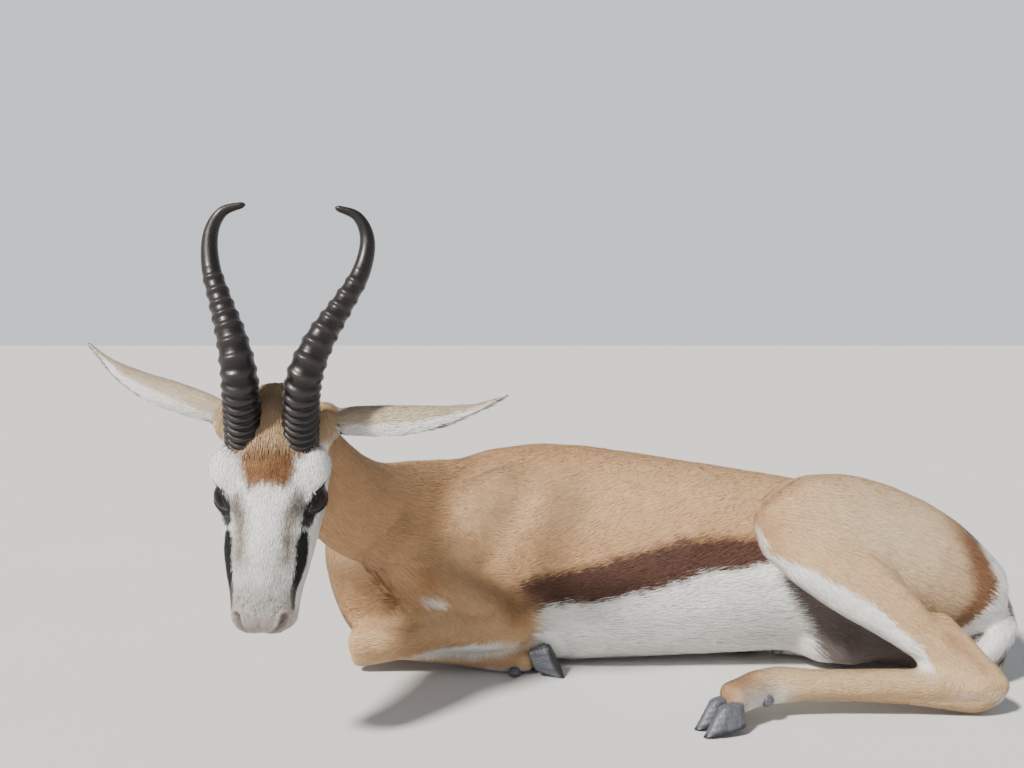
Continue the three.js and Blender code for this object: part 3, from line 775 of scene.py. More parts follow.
MOUTH = [(173, 0, -33), (171, 14, -34), (162, 26, -36), (148, 31, -38), (132, 33, -40), (117, 35, -43)]
NOSTRIL = [(158, 22, -11), (164, 20.5, -12), (170, 17, -15), (172, 12, -19)]
STRIPE = [(77, 36, -15), (84, 35.5, -14), (95, 35, -15), (112, 33.5, -15), (126, 31, -12.5), (134, 29, -11),
          (150, 29, -15)]
EYE_BAND = [(66, 38, -17), (56, 43, -18), (42, 49, -22), (26, 54, -26), (14, 58, -30)]


def sculpt_face(points, faces):
    """Lids, the hollow before the eye, nostrils, the mouth and the planes of the muzzle."""
    local, side = face_coords(points)
    down, left, out = local.T
    near = in_face(local, -70, 190, 75, -125)
    normals = vertex_normals(points, faces)
    lift = np.zeros(len(points))

    # Nose bone, with a flat on either side of it, and the swell of the cheek
    lift += bell(left, 9) * window(down, 40, 70, 140, 158)
    lift -= 1.2 * bell(left - 24, 9) * window(down, 50, 75, 120, 140)
    lift -= 1.8 * bell(down - 72, 12) * bell(left - 38, 7) * bell(out + 22, 12)
    lift += 1.4 * bell(down - 18, 16) * bell(left - 34, 10) * smoothstep(-30, -10, out)

    # Nose pad, split by its groove, and the upper lip below it
    lift += 1.3 * bell(down - 163, 9) * bell(left - 8, 9) * smoothstep(-40, -20, out)
    lift -= bell(left, 1.3) * smoothstep(160, 168, down) * smoothstep(-32, -26, out)
    mouth = polyline_distance(local, MOUTH)
    lift -= 2.4 * bell(mouth, 1.7)
    lift += 0.9 * bell(mouth - 5, 3.5)
    nostril = polyline_distance(local, NOSTRIL)
    lift += 1.5 * bell(nostril - 5.2, 2.4)
    lift -= 6.5 * bell(nostril, 2.7)
    points = points + np.where(near, lift, 0)[:, None] * normals

    # Lids: the skin comes to a thin margin on the eyeball, and sinks behind it in the opening
    local, side = face_coords(points)
    away, y, q = eye_coords(local)
    distance = np.linalg.norm(away, axis=1)
    margin = EYE_RADIUS + 0.5 + 1.9 * smoothstep(1.0, 1.7, q)
    goal = mix(margin, EYE_RADIUS - 4.5, smoothstep(1.0, 0.86, q))
    share = smoothstep(3.0, 1.3, q)
    crease = 0.5 * bell(q - 2.1, 0.35) * (y > 0)
    reach = distance + (goal - distance) * share - crease
    reach = np.where(near & (q < 4), reach, distance)
    local = EYE_AT + away * (reach / np.maximum(distance, 1e-6))[:, None]
    local[:, 1] *= side
    return np.where((near & (q < 4))[:, None], on_head(local), points)


# Strokes on the body: a line, how far the skin moves out there, and how wide the stroke is
STROKES = [
    ([(-120, -125, 209), (-136, -147, 188), (-148, -149, 176), (-160, -141, 158), (-178, -46, 100)], -5, 11),
    ([(-40, 5, 237), (-69, -38, 231), (-85, -73, 213), (-111, -107, 137)], -1.5, 14),
    ([(-20, -20, 215), (-70, -66, 190), (-100, -100, 150)], 3.5, 22),
    ([(-111, -107, 137), (-60, -118, 110), (-6, -110, 84)], 3, 18),
    ([(6, -108, 60), (8, -86, 110), (20, -60, 160)], -4, 12),
    ([(-140, -70, 60), (-100, -90, 78), (-30, -104, 84)], -4, 9),
    ([(304, -121, 246), (270, -149, 223), (262, -120, 190)], -4, 14),
    ([(262, -110, 232), (236, -88, 205), (210, -66, 150)], 3, 14),
    ([(322, -150, 190), (390, -165, 160), (440, -180, 120)], 2.5, 18),
    ([(420, -150, 160), (470, -160, 110), (505, -176, 62)], -3, 9),
    ([(400, -100, 235), (470, -90, 200), (520, -80, 170)], 2.5, 26),
    ([(500, -212, 40), (440, -214, 40), (300, -212, 42)], -1.4, 5),
    ([(500, -206, 20), (400, -206, 22), (300, -206, 24)], -1.2, 5),
    ([(-150, -84, 44), (-90, -90, 60), (-20, -100, 66)], 1.6, 12),
    ([(582, -78, 62), (560, -100, 52), (548, -110, 44)], 6, 13),
]
RIBS = range(5)
# The fold where neck, chest and shoulder meet, smoothed further
THROAT = [(-225, -60, 140), (-190, -85, 125), (-150, -95, 112), (-105, -92, 100)]


def sculpt_body(points, faces):
    """Grooves between the muscles, tendons and the faint line of the ribs."""
    normals = vertex_normals(points, faces)
    lift = np.zeros(len(points))
    for line, height, width in STROKES:
        lift += height * bell(polyline_distance(points, line), width)
    for k in RIBS:
        x = 60 + 34 * k
        line = [(x - 34, -10, 262), (x, -70, 205), (x + 14, -92, 140)]
        lift += 0.8 * bell(polyline_distance(points, line), 9)
    clear = smoothstep(4, 18, points[:, 2])
    return points + (lift * clear)[:, None] * normals


def build_skin():
    """All flesh as one mesh, finer on the face and finest round the eyes, nostrils and mouth."""
    points, faces = with_ears(*first_skin())
    edges = edges_of(faces)
    away = [np.linalg.norm(points - PATHS[name][0], axis=1) for name in EARS]
    roots = smoothstep(32, 16, np.min(away, axis=0))
    points = relaxed(points, edges, 8, roots)
    throat = smoothstep(62, 18, polyline_distance(points, THROAT))
    points = relaxed(points, edges, 120, throat)
    points = sculpt_body(points, faces)

    def centres():
        return face_coords(points[faces].mean(1))[0]

    points, faces = refined(points, faces, in_face(centres(), -60, 186, 70, -118))
    eased = relaxed(points, edges_of(faces), 2)
    inside = in_face(face_coords(points)[0], -30, 186, 66, -110)
    points = np.where(inside[:, None], eased, points)

    def details(reach):
        local = centres()
        _, _, q = eye_coords(local)
        lines = np.minimum(polyline_distance(local, MOUTH), polyline_distance(local, NOSTRIL))
        return (q < reach[0]) | (lines < reach[1])

    for reach in ((5, 9), (3.2, 6), (2.2, 3.6)):
        points, faces = refined(points, faces, details(reach))
    points = sculpt_face(points, faces)
    points[:, 2] = np.maximum(points[:, 2], SKIN_CLEAR)
    return points, faces


# Markings, shared by the skin and the coat

# Where the white of the rump begins along x, for a height
RUMP_FRONT = [(40, 494), (67, 514), (92, 536), (109, 550), (132, 554), (146, 551), (170, 543), (200, 527),
              (240, 511)]
# Degrees round the trunk, for a place along x: both edges of the dark band, and of the white on the back
BAND_TOP = [(-60, 136), (-20, 131), (108, 120), (199, 112), (264, 112), (330, 110)]
BAND_BOTTOM = [(-200, 190), (-100, 176), (-20, 146), (64, 144), (108, 145), (216, 133), (274, 129),
               (330, 122)]
BACK_FOLD = [(220, 1), (330, 4), (420, 7), (500, 12), (560, 28)]
# Degrees round the neck of the edge of the white throat, for a distance from the head
THROAT_EDGE = [(10, 128), (50, 168), (90, 190)]
# Half-widths, for a place down the face: the forehead's patch, the stripe and the band past the eye
PATCH_HALF = [(-20, 8), (-8, 18), (3, 27), (20, 25), (35, 20), (42, 10)]
STRIPE_HALF = [(72, 4), (80, 6.6), (90, 8), (105, 8.2), (118, 6.4), (130, 4), (150, 2.4)]
BAND_HALF = [(14, 4), (30, 5.5), (72, 5.5)]
# Height of the upper edge of the white, for a place along x, on the left forearm and shank
FOREARM_WHITE = [(-190, 12), (-135, 21), (-61, 43), (3, 58)]
SHANK_WHITE = [(280, 179), (315, 165), (357, 144), (390, 126), (413, 103), (430, 89), (448, 66), (470, 36)]
# The front of the left thigh along x, for a height, and the lines of its dark and its white hairs there
THIGH_FRONT = [(150, 300), (166, 286), (183, 282), (200, 276), (223, 272), (246, 306)]
THIGH_DARK = [(282, -128, 240), (268, -144, 222), (265, -150, 208)]
THIGH_WHITE = [(264, -150, 204), (276, -158, 180)]
# Dark hairs behind the left shank, and white ones beside the dewclaws
SHANK_DARK = [(467, -190, 91), (491, -191, 68), (527, -204, 34)]
CLAW_WHITE = [(288, -214, 22), (256, -230, 24)]
# Where darker hairs and painted shade run down the groove in front of the shoulder, seen from the left side,
# and the parts they cross
GROOVE_HAIR_AND_SHADE = [(-124, 0, 200), (-150, 0, 176), (-168, 0, 150), (-160, 0, 108), (-142, 0, 60)]
GROOVED = [COLUMN[name] for name in ("trunk", "neck", "left_fore_arm")]
CHEST_SPOT = [(-109, -89, 95), (-88, -102, 97)]


def trunk_angle(points):
    """Degrees round the trunk: 0 at the spine, 90 at the left flank, 180 at the belly."""
    x = points[:, 0]
    y, z, roll = (np.interp(x, TRUNK_AXIS[:, 0], TRUNK_AXIS[:, i]) for i in (1, 2, 3))
    roll = np.radians(roll)
    v, w = points[:, 1] - y, points[:, 2] - z
    up = v * np.sin(roll) + w * np.cos(roll)
    left = -v * np.cos(roll) + w * np.sin(roll)
    return np.degrees(np.arctan2(left, up))


def rough(points, seed, size=9):
    """Noise in two sizes, for the ragged edge of a marking."""
    return 0.6 * noise(points, size, seed) + 0.4 * noise(points, size / 2.6, seed + 1)


def patch_at(points, middle, widths):
    """1 in the middle of a round patch, falling away by its three widths."""
    return np.exp(-(((points - middle) / widths) ** 2).sum(1))


def with_rump(colour, points):
    """White behind the line of the haunch, with a chestnut crescent in front of it."""
    x, _, z = points.T
    past = x - profile(z, RUMP_FRONT) + 3 * rough(points, 11)
    crescent = smoothstep(-44, -16, past) * below(past, 0, 3) * window(z, 52, 90, 170, 215)
    colour = mix(colour, CRESCENT, crescent * 0.95)
    return mix(colour, WHITE, above(past, 2, 4))


def with_groin_skin_and_shade(colour, points):
    """The dark thinly haired skin between the hind legs, darkened further as painted shade in the hollow
    there.
    """
    x, y, z = points.T
    behind = above(x + 0.62 * z + 4 * rough(points, 15), 384, 9)
    inner = window(y, -200, -170, -30, 10) * below(z, 128, 10)
    return mix(colour, GROIN_SKIN_AND_SHADE, 0.92 * behind * inner * smoothstep(530, 500, x))


def trunk_colour(points):
    """Tan above a dark band, white below it, white rump and back fold."""
    x = points[:, 0]
    side = np.abs(trunk_angle(points)) + 3.2 * rough(points, 21)
    colour = mix(TAN, TAN_PALE, 0.35 * window(side, 40, 75, 85, 112))
    colour = mix(colour, TAN_DEEP, 0.22 * smoothstep(42, 10, side))
    colour = mix(colour, CHESTNUT, above(side, profile(x, BAND_TOP), 4) * window(x, -40, 6, 296, 332))
    colour = mix(colour, WHITE, above(side, profile(x, BAND_BOTTOM), 2.2))
    colour = with_rump(colour, points)
    half = profile(x, BACK_FOLD)
    fold = smoothstep(half * 1.2 + 0.5, half * 0.8, side)
    colour = mix(colour, WHITE, fold * smoothstep(215, 270, x))
    return with_groin_skin_and_shade(colour, points)


def neck_colour(points):
    run, tangent, offset = along_path(points, PATHS["neck"])
    nape = np.array([0.12, 0.6, 0.8])
    up = unit(nape - tangent * (tangent @ nape)[:, None])
    side = np.degrees(np.arccos(np.clip(dots(unit(offset), up), -1, 1)))
    side = side + 4 * rough(points, 31)
    colour = mix(TAN, TAN_DEEP, 0.2 * smoothstep(50, 10, side))
    return mix(colour, WHITE, 0.9 * above(side, profile(run, THROAT_EDGE), 6))


def head_colour(points):
    """The tan poll and nape, the forehead's patch, the dark marks by the eyes and nose, and white between."""
    local, side = face_coords(points)
    down, left, out = local.T
    ragged = rough(points, 41, 4)
    front = smoothstep(-34, -18, out)
    colour = np.tile(np.array(WHITE), (len(points), 1))
    # Poll, back of the head and nape
    poll = below(down + 3 * ragged + 16 * smoothstep(30, 44, left) * smoothstep(-60, -40, out), 0, 5)
    colour = mix(colour, mix(POLL, TAN, 0.2 + 0.25 * ragged), poll)
    back = below(out + 3 * ragged, -64, 8) * smoothstep(70, 30, down)
    colour = mix(colour, mix(POLL, TAN, 0.3), 0.8 * below(down + 3 * ragged, -28, 6))
    colour = mix(colour, TAN, back)
    # Forehead, darker and redder toward the animal's left: painted shade on the side away from the light
    hairs = noise(head_coords(points) * (0.3, 1, 1), 2.6, 47)
    lobes = 3 * np.cos(left / 7.5) + 5 * ragged + 4 * hairs
    patch = below(left + 3 * ragged + 2 * hairs, profile(down, PATCH_HALF), 6) * below(down + lobes, 33, 6)
    patch *= above(down, -8, 9) * front
    mottled = 0.35 + 0.4 * smoothstep(-12, 20, side * left) + 0.5 * noise(points, 9, 46) + 0.4 * hairs
    colour = mix(colour, mix(FOREHEAD, BROWN, np.clip(mottled, 0, 1)), patch)
    # Grey-brown spot above the inner corner of the eye, and broad streaks beside the nose
    spot = below(np.hypot((down - 50) / 15, (left - 29) / 8) + 0.2 * ragged + 0.15 * hairs, 0.9, 0.55)
    colour = mix(colour, SPOT, 0.85 * spot * front)
    streak = bell(left - 23, 8) * window(down, 44, 60, 92, 124)
    colour = mix(colour, STREAK, np.clip(0.85 + 0.2 * ragged + 0.15 * hairs, 0, 1) * streak * front)
    mottle = bell(left - 15, 8) * window(down, 88, 104, 126, 138)
    blotches = smoothstep(-0.1, 0.6, noise(points, 5, 45))
    colour = mix(colour, NOSE, (0.12 + 0.3 * blotches) * mottle * front)
    # The black stripe from the eye to the corner of the mouth
    stripe = polyline_distance(local, STRIPE) + 1.1 * ragged
    stripe = below(stripe, profile(down, STRIPE_HALF), 1.6) * smoothstep(156, 148, down)
    colour = mix(colour, mix(BLACK, SPOT, 0.9 * smoothstep(122, 144, down)), stripe)
    # Black rim of the eye, and the band from it to the temple
    _, _, q = eye_coords(local)
    colour = mix(colour, BLACK, below(q + 0.35 * ragged, 2.2, 0.5))
    flat = (1, 1, 0.4)
    band = polyline_distance(local * flat, np.multiply(EYE_BAND, flat)) + 0.8 * ragged
    colour = mix(colour, BLACK, 0.97 * below(band, profile(down, BAND_HALF), 1.2))
    # Greyer down the bridge of the nose, and a speckled grey muzzle
    colour = mix(colour, STREAK, 0.22 * smoothstep(70, 115, down) * below(left, 28, 4) * front)
    speckle = smoothstep(0.1, 0.7, noise(points, 1.6, 44))
    dusk = smoothstep(114, 142, down) * smoothstep(-40, -26, out)
    colour = mix(colour, MUZZLE, np.clip(dusk * (0.5 + 0.5 * speckle), 0, 1) * smoothstep(32, 26, left))
    bridge = bell(down - 110, 7) * bell(left, 9)
    colour = mix(colour, GREY, 0.4 * bridge * speckle)
    # Pinkish skin shows through the thin hair low on the right of the muzzle
    blush = bell(down - 160, 12) * bell(left - 24, 9)
    return mix(colour, LIP, 0.8 * blush * np.where(side < 0, 1, 0.35))


def bare_head(points):
    """How bare the skin is there, and its colour: nose pad, lips, rims of the lids and nostrils."""
    local, _ = face_coords(points)
    down, left, out = local.T
    pad = above(down + 1.2 * rough(points, 51, 4), 158, 2.4) * below(left, 15, 2.5) * above(out, -34, 3)
    to_nostril = polyline_distance(local, NOSTRIL)
    nostril = below(to_nostril, 5.2, 1.4)
    lips = below(polyline_distance(local, MOUTH), 4, 1.6) * above(down, 140, 14)
    pink = bell(left - 29, 5) * bell(out + 27, 8) * smoothstep(146, 156, down)
    _, _, q = eye_coords(local)
    lid = below(q, 1.1, 0.08)
    colour = mix(NOSE, LIP, np.clip(np.maximum(lips, pink), 0, 1))
    # Painted shade deep in the nostrils
    colour = mix(colour, np.array(NOSE) * 0.3, below(to_nostril, 2.4, 1))
    colour = mix(colour, BLACK, lid)
    return np.clip(np.maximum.reduce([pad, nostril, lips, 0.7 * pink, lid]), 0, 1), colour


def ear_places(points, ear):
    """Part of the length, place across from -1 to 1, and how far behind the rims, in millimetres."""
    base, length, axis, backward, edge = ear_axes(ear)
    v = points - base
    part = np.clip(v @ axis / length, 0, 1)
    v = v - ear_sag(axis, part)
    shape = EAR_LEAF(part)
    half = np.radians(shape[:, 2])
    radius = shape[:, 1] * EAR_WIDTH / 2 / np.sin(np.minimum(half, np.pi / 2))
    angle = np.arctan2(v @ edge, v @ backward + radius * 0.6)
    reach = np.hypot(v @ edge, v @ backward + radius * 0.6)
    return part, angle / half, reach - radius


def ear_colour(points, ear):
    part, across, deep = ear_places(points, ear)
    inside = below(deep, -2.2, 0.5)
    ragged = rough(points, 61, 5)
    colour = mix(EAR_BACK, TAN_DEEP, 0.35 * smoothstep(0.75, 1, part))
    rim = above(np.abs(across) + 0.05 * ragged, 0.67, 0.07)
    colour = mix(colour, WHITE, 0.92 * rim * smoothstep(1, 0.9, part))
    # Inside the cup: grey skin with painted shade, whiter towards the rims
    within = mix(EAR_INSIDE_AND_SHADE, WHITE, above(np.abs(across) + 0.12 * ragged, 0.6, 0.16) * 0.9)
    return mix(colour, within, inside)


def fore_colour(points, part, left_side):
    """Tan, with white along the lower edge and darker hair over the shoulder point and elbow."""
    x, y, z = points.T
    ragged = rough(points, 71, 7)
    colour = mix(TAN, TAN_PALE, 0.3 + 0.3 * noise(points, 40, 72))
    if not left_side:
        return mix(colour, WHITE, 0.85 * below(y + 4 * ragged, 100 if part == "forearm" else 96, 9))
    if part == "arm":
        shoulder_point = patch_at(points, (-111, -107, 132), (26, 40, 20))
        colour = mix(colour, TAN_DEEP, 0.95 * shoulder_point)
        return mix(colour, TAN_DEEP, 0.75 * patch_at(points, (2, -95, 84), (26, 40, 28)))
    if part == "forearm":
        return mix(colour, WHITE, below(z + 3 * ragged, profile(x, FOREARM_WHITE), 3))
    return mix(colour, WHITE, 0.5 * below(z + 2 * ragged, 9, 4))


def hind_colour(points, part, left_side):
    """Tan outside and white within, with a dark and a white line along the edges that show."""
    x, _, z = points.T
    ragged = rough(points, 81, 7)
    colour = mix(TAN, TAN_PALE, 0.75 + 0.25 * noise(points, 50, 82))
    if part == "thigh" and left_side:
        # Painted sunlight: a pale pool of light over the left haunch
        colour = mix(colour, SUNLIT_HAUNCH, 0.9 * patch_at(points, (430, -140, 190), (90, 80, 70)))
        colour = mix(colour, TAN_DEEP, 0.5 * bell(x - profile(z, THIGH_FRONT), 14))
        dark = polyline_distance(points, THIGH_DARK) + 1.5 * ragged
        colour = mix(colour, TAN_DEEP, 0.8 * below(dark, 5, 3.5))
        white = polyline_distance(points, THIGH_WHITE) + 1.5 * ragged
        colour = mix(colour, WHITE, 0.85 * below(white, 6, 2.5))
        inner = below(z + 0.45 * (x - 292) + 4 * ragged, 158, 5) * smoothstep(470, 430, x)
        return with_rump(mix(colour, WHITE, inner), points)
    if part == "thigh":
        colour = mix(colour, WHITE, below(z + 5 * ragged, 118, 10))
        return with_groin_skin_and_shade(with_rump(colour, points), points)
    if part == "shank" and left_side:
        colour = mix(colour, WHITE, below(z + 3.5 * ragged, profile(x, SHANK_WHITE) - 3, 3.5))
        return mix(colour, TAN_DEEP, 0.45 * bell(polyline_distance(points, SHANK_DARK), 7))
    if part == "shank":
        return with_groin_skin_and_shade(mix(colour, WHITE, 0.9), points)
    colour = mix(colour, TAN_PALE, 0.6)
    if not left_side:
        return with_groin_skin_and_shade(mix(colour, WHITE, 0.3), points)
    colour = mix(colour, TAN_DEEP, 0.7 * below(x + 6 * ragged, 268, 16))
    return mix(colour, WHITE, 0.95 * bell(polyline_distance(points, CLAW_WHITE), 16))


def tail_colour(points):
    run, _, _ = along_path(points, TAIL_PATH)
    tuft = above(run / path_length(TAIL_PATH) + 0.02 * rough(points, 91), 0.95, 0.02)
    return mix(WHITE, CHESTNUT, tuft)


def part_colour(name, points):
    if name == "trunk":
        return trunk_colour(points)
    if name == "neck":
        return neck_colour(points)
    if name == "head":
        return head_colour(points)
    if name in EARS:
        return ear_colour(points, name)
    if name == "tail":
        return tail_colour(points)
    side, end, part = name.split("_")
    make = fore_colour if end == "fore" else hind_colour
    return make(points, part, side == "left")


def markings(points, weights):
    """The colour of the coat at each point, and how bare the skin is there."""
    colour = np.zeros((len(points), 3))
    bare = np.zeros(len(points))
    for name, rows, share in shares_of_parts(weights):
        layer = part_colour(name, points[rows])
        if name == "head":
            naked, naked_colour = bare_head(points[rows])
            layer = mix(layer, naked_colour, naked)
            bare[rows] += naked * share
        colour[rows] += layer * share[:, None]
    colour /= np.maximum(weights.sum(1), 1e-6)[:, None]
    # Streaks of darker hair with painted shade down the groove of the neck, on the left side only, and the
    # white hairs where forearm meets chest
    groove = polyline_distance(points * (1, 0, 1), GROOVE_HAIR_AND_SHADE)
    streaks = 0.6 + 0.9 * noise(points * (1, 1, 0.25), 4, 94)
    near_side = smoothstep(0, -40, points[:, 1])
    groove = np.clip(streaks, 0, 1) * bell(groove, 15) * near_side
    groove *= 1 - 0.65 * smoothstep(130, 165, points[:, 2])
    colour = mix(colour, np.array(TAN_DEEP) * 0.55, groove * weights[:, GROOVED].sum(1))
    chest = polyline_distance(points, CHEST_SPOT) + 5 * rough(points, 95, 4)
    colour = mix(colour, WHITE, 0.8 * below(chest, 8, 5))
    colour *= (1 + 0.05 * noise(points, 60, 96) + 0.05 * noise(points, 18, 97))[:, None]
    return np.clip(colour, 0, 1), np.clip(bare, 0, 1)


# Lie of the coat


def lie_field(points, normals, weights, edges):
    """The way the coat lies at each vertex, along the skin."""
    lie = np.zeros_like(points)
    for name, rows, share in shares_of_parts(weights):
        _, tangent, offset = along_path(points[rows], PATHS[name])
        if name == "trunk":
            angle = np.radians(trunk_angle(points[rows]))
            around = np.cross(tangent, unit(offset)) * -np.sign(angle)[:, None]
            tangent = unit(tangent + 0.4 * np.sin(np.abs(angle))[:, None] * around)
        elif name == "head":
            local, _ = face_coords(points[rows])
            spread = smoothstep(-30, -70, local[:, 2])[:, None]
            tangent = unit(np.tile(HEAD_AXES[0], (len(rows), 1)) - 0.9 * spread * HEAD_AXES[2])
        elif name.endswith("thigh"):
            tangent = unit(np.tile(np.array([1.0, 0.0, -0.5]), (len(rows), 1)))
        lie[rows] += tangent * share[:, None]
    for _ in range(14):
        lie = lie - normals * dots(lie, normals)[:, None]
        lie = relaxed(unit(lie), edges, 2)
    lie = lie - normals * dots(lie, normals)[:, None]
    return unit(lie)


skin_points, skin_faces = build_skin()
skin_edges = edges_of(skin_faces)
skin_normals = vertex_normals(skin_points, skin_faces)
hard_weights = nearest_part_weights(skin_points)
skin_weights = relaxed(hard_weights, skin_edges, 10)
skin_colour, skin_bare = markings(skin_points, skin_weights)
skin_lie = lie_field(skin_points, skin_normals, skin_weights, skin_edges)


def unwrap(points, weights):
    """A place on an unwrap of the skin: a tile for each part, the angle round it across and its length up."""
    tiles = 5
    spread = np.zeros((len(points), 2))
    for name, rows, _ in shares_of_parts(weights):
        row, column = divmod(COLUMN[name], tiles)
        run, tangent, offset = along_path(points[rows], PATHS[name])
        u = 0.5 + around_path(tangent, offset) / (2 * np.pi)
        v = 0.06 + 0.88 * run / path_length(PATHS[name])
        spread[rows, 0] = (column + 0.02 + 0.96 * u) / tiles
        spread[rows, 1] = (row + v) / tiles
    return spread


# Materials


def add(tree, kind, inputs=None, **settings):
    """A node with its settings and inputs, each a value or another node's output."""
    node = tree.nodes.new(kind)
    for name, value in settings.items():
        setattr(node, name, value)
    for name, value in (inputs or {}).items():
        socket = node.inputs[name]
        if isinstance(value, bpy.types.NodeSocket):
            tree.links.new(value, socket)
        else:
            socket.default_value = value
    return node


def new_material(name, **values):
    """A Principled material and its tree; values go to the shader's own sockets, with _ for a space."""
    made = bpy.data.materials.new(name)
    made.use_nodes = True
    for socket, value in values.items():
        made.node_tree.nodes["Principled BSDF"].inputs[socket.replace("_", " ")].default_value = value
    return made, made.node_tree


def stretched_noise(tree, layer, scale, detail=4.0):
    """Noise stretched along the second axis of a UV map."""
    coordinates = add(tree, "ShaderNodeUVMap", uv_map=layer)
    mapping = add(tree, "ShaderNodeMapping", {"Vector": coordinates.outputs["UV"], "Scale": scale})
    inputs = {"Vector": mapping.outputs["Vector"], "Scale": 1.0, "Detail": detail, "Roughness": 0.6}
    return add(tree, "ShaderNodeTexNoise", inputs).outputs["Fac"]


def object_noise(tree, scale, detail=4.0):
    place = add(tree, "ShaderNodeTexCoord").outputs["Object"]
    return add(tree, "ShaderNodeTexNoise", {"Vector": place, "Scale": scale, "Detail": detail}).outputs["Fac"]


def attribute(tree, name, output):
    """What paint or note left on the mesh: its Color, or its Fac."""
    return add(tree, "ShaderNodeAttribute", attribute_name=name).outputs[output]


def ranged(tree, value, low, high):
    """A value from 0 to 1 spread from low to high."""
    return add(tree, "ShaderNodeMapRange", {"Value": value, "To Min": low, "To Max": high}).outputs["Result"]


def ramp(tree, value, stops):
    """The colour for a value, from a row of places and colours."""
    node = add(tree, "ShaderNodeValToRGB", {"Fac": value})
    row = node.color_ramp.elements
    row[0].position, row[1].position = stops[0][0], stops[-1][0]
    for place, _ in stops[1:-1]:
        row.new(place)
    for element, (_, colour) in zip(row, stops):
        element.color = (*colour, 1)
    return node.outputs["Color"]


def varied(tree, colour, factor, low, high):
    """A colour made darker and lighter by a factor from 0 to 1."""
    scaled = add(tree, "ShaderNodeVectorMath", {0: colour}, operation="SCALE")
    tree.links.new(ranged(tree, factor, low, high), scaled.inputs["Scale"])
    return scaled.outputs["Vector"]


def surface(tree, colour, roughness=None, height=None, depth=0.0, strength=1.0):
    """Feeds a material's shader with what its nodes make; depth is the height's whole range in metres."""
    inputs = tree.nodes["Principled BSDF"].inputs
    tree.links.new(colour, inputs["Base Color"])
    if roughness is not None:
        tree.links.new(roughness, inputs["Roughness"])
    if height is not None:
        relief = {"Height": height, "Distance": depth, "Strength": strength}
        tree.links.new(add(tree, "ShaderNodeBump", relief).outputs["Normal"], inputs["Normal"])


def skin_material():
    """Short flat hair as bump and streaks, and pebbled damp skin where it is bare."""
    made, tree = new_material("skin", Sheen_Weight=0.04, Sheen_Roughness=0.5)
    bare = attribute(tree, "bare", "Fac")
    streaks = stretched_noise(tree, "hair", (900.0, 90.0, 1.0))
    colour = varied(tree, attribute(tree, "coat", "Color"), streaks, 0.78, 1.12)
    place = add(tree, "ShaderNodeTexCoord").outputs["Object"]
    pebbles = add(tree, "ShaderNodeTexVoronoi", {"Vector": place, "Scale": 900.0}).outputs["Distance"]
    height = add(tree, "ShaderNodeMix", {"Factor": bare, "A": streaks, "B": pebbles}).outputs["Result"]
    surface(tree, colour, ranged(tree, bare, 0.82, 0.42), height, 0.0006)
    return made


def coat_material():
    """Tufts of dry hair, each darker at its root as painted shade among the hairs and a little lighter at its
    tip.
    """
    made, tree = new_material(
        "coat", Roughness=0.7, Sheen_Weight=0.07, Sheen_Roughness=0.4, Specular_IOR_Level=0.3
    )
    colour = varied(tree, attribute(tree, "coat", "Color"), object_noise(tree, 420.0), 0.88, 1.1)
    surface(tree, colour, None, object_noise(tree, 1500.0), 0.0003, 0.6)
    return made


def horn_material():
    """Dark horn: fine grooves along it, the ring crests paler from wear and painted highlight, the hollows
    between them near black as painted shade.
    """
    made, tree = new_material("horn", Coat_Weight=0.24, Coat_Roughness=0.22, Specular_IOR_Level=0.24)
    grain = stretched_noise(tree, "grain", (130.0, 26.0, 1.0))
    stops = [(0, (0.0015, 0.0012, 0.001)), (0.68, (0.016, 0.0125, 0.011)), (1, (0.027, 0.0215, 0.0195))]
    streaked = varied(tree, ramp(tree, attribute(tree, "ridge", "Fac"), stops), grain, 0.62, 1.4)
    blotched = varied(tree, streaked, object_noise(tree, 45.0), 0.8, 1.25)
    surface(tree, blotched, ranged(tree, grain, 0.3, 0.46), grain, 0.0002)
    return made


def hoof_material():
    """Slate-grey hoof with pale streaks from rim to toe, darker towards the sole."""
    made, tree = new_material("hoof", Specular_IOR_Level=0.45)
    grain = stretched_noise(tree, "grain", (26.0, 2.4, 1.0))
    stops = [(0.28, (0.04, 0.043, 0.05)), (0.5, (0.078, 0.084, 0.1)), (0.75, (0.17, 0.172, 0.18))]
    clouded = varied(tree, ramp(tree, grain, stops), object_noise(tree, 120.0), 0.8, 1.2)
    sole_darkened = varied(tree, clouded, attribute(tree, "sole_darkened", "Fac"), 1.0, 0.2)
    surface(tree, sole_darkened, ranged(tree, grain, 0.35, 0.6), grain, 0.0002)
    return made


def eye_material():
    """A wet dark eye: the iris in fibres round a level pupil."""
    made, tree = new_material(
        "eye", Roughness=0.3, Coat_Weight=0.1, Coat_Roughness=0.04, Specular_IOR_Level=0.12
    )
    fibres = stretched_noise(tree, "grain", (60.0, 3.0, 1.0))
    surface(tree, varied(tree, attribute(tree, "iris", "Color"), fibres, 0.6, 1.4))
    return made


def floor_material():
    made, tree = new_material("floor", Roughness=0.85)
    surface(tree, varied(tree, FLOOR, object_noise(tree, 3.0), 0.97, 1.03))
    return made


SKIN_FINISH, COAT_FINISH, HORN_FINISH = skin_material(), coat_material(), horn_material()
HOOF_FINISH, EYE_FINISH = hoof_material(), eye_material()


def finish_piece(piece, finish, slot, *nodes):
    piece.data.materials.append(finish)
    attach(piece, "root")
    if nodes:
        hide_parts(*nodes)
    return piece


def make_skin():
    skin = mesh_object("skin", skin_points, skin_faces)
    paint(skin.data, "coat", skin_colour)
    note(skin.data, "bare", skin_bare)
    map_points(skin.data, "hair", unwrap(skin_points, hard_weights))
    finish_piece(skin, SKIN_FINISH, "coat", *FLESH, "head", *EARS)


# Coat

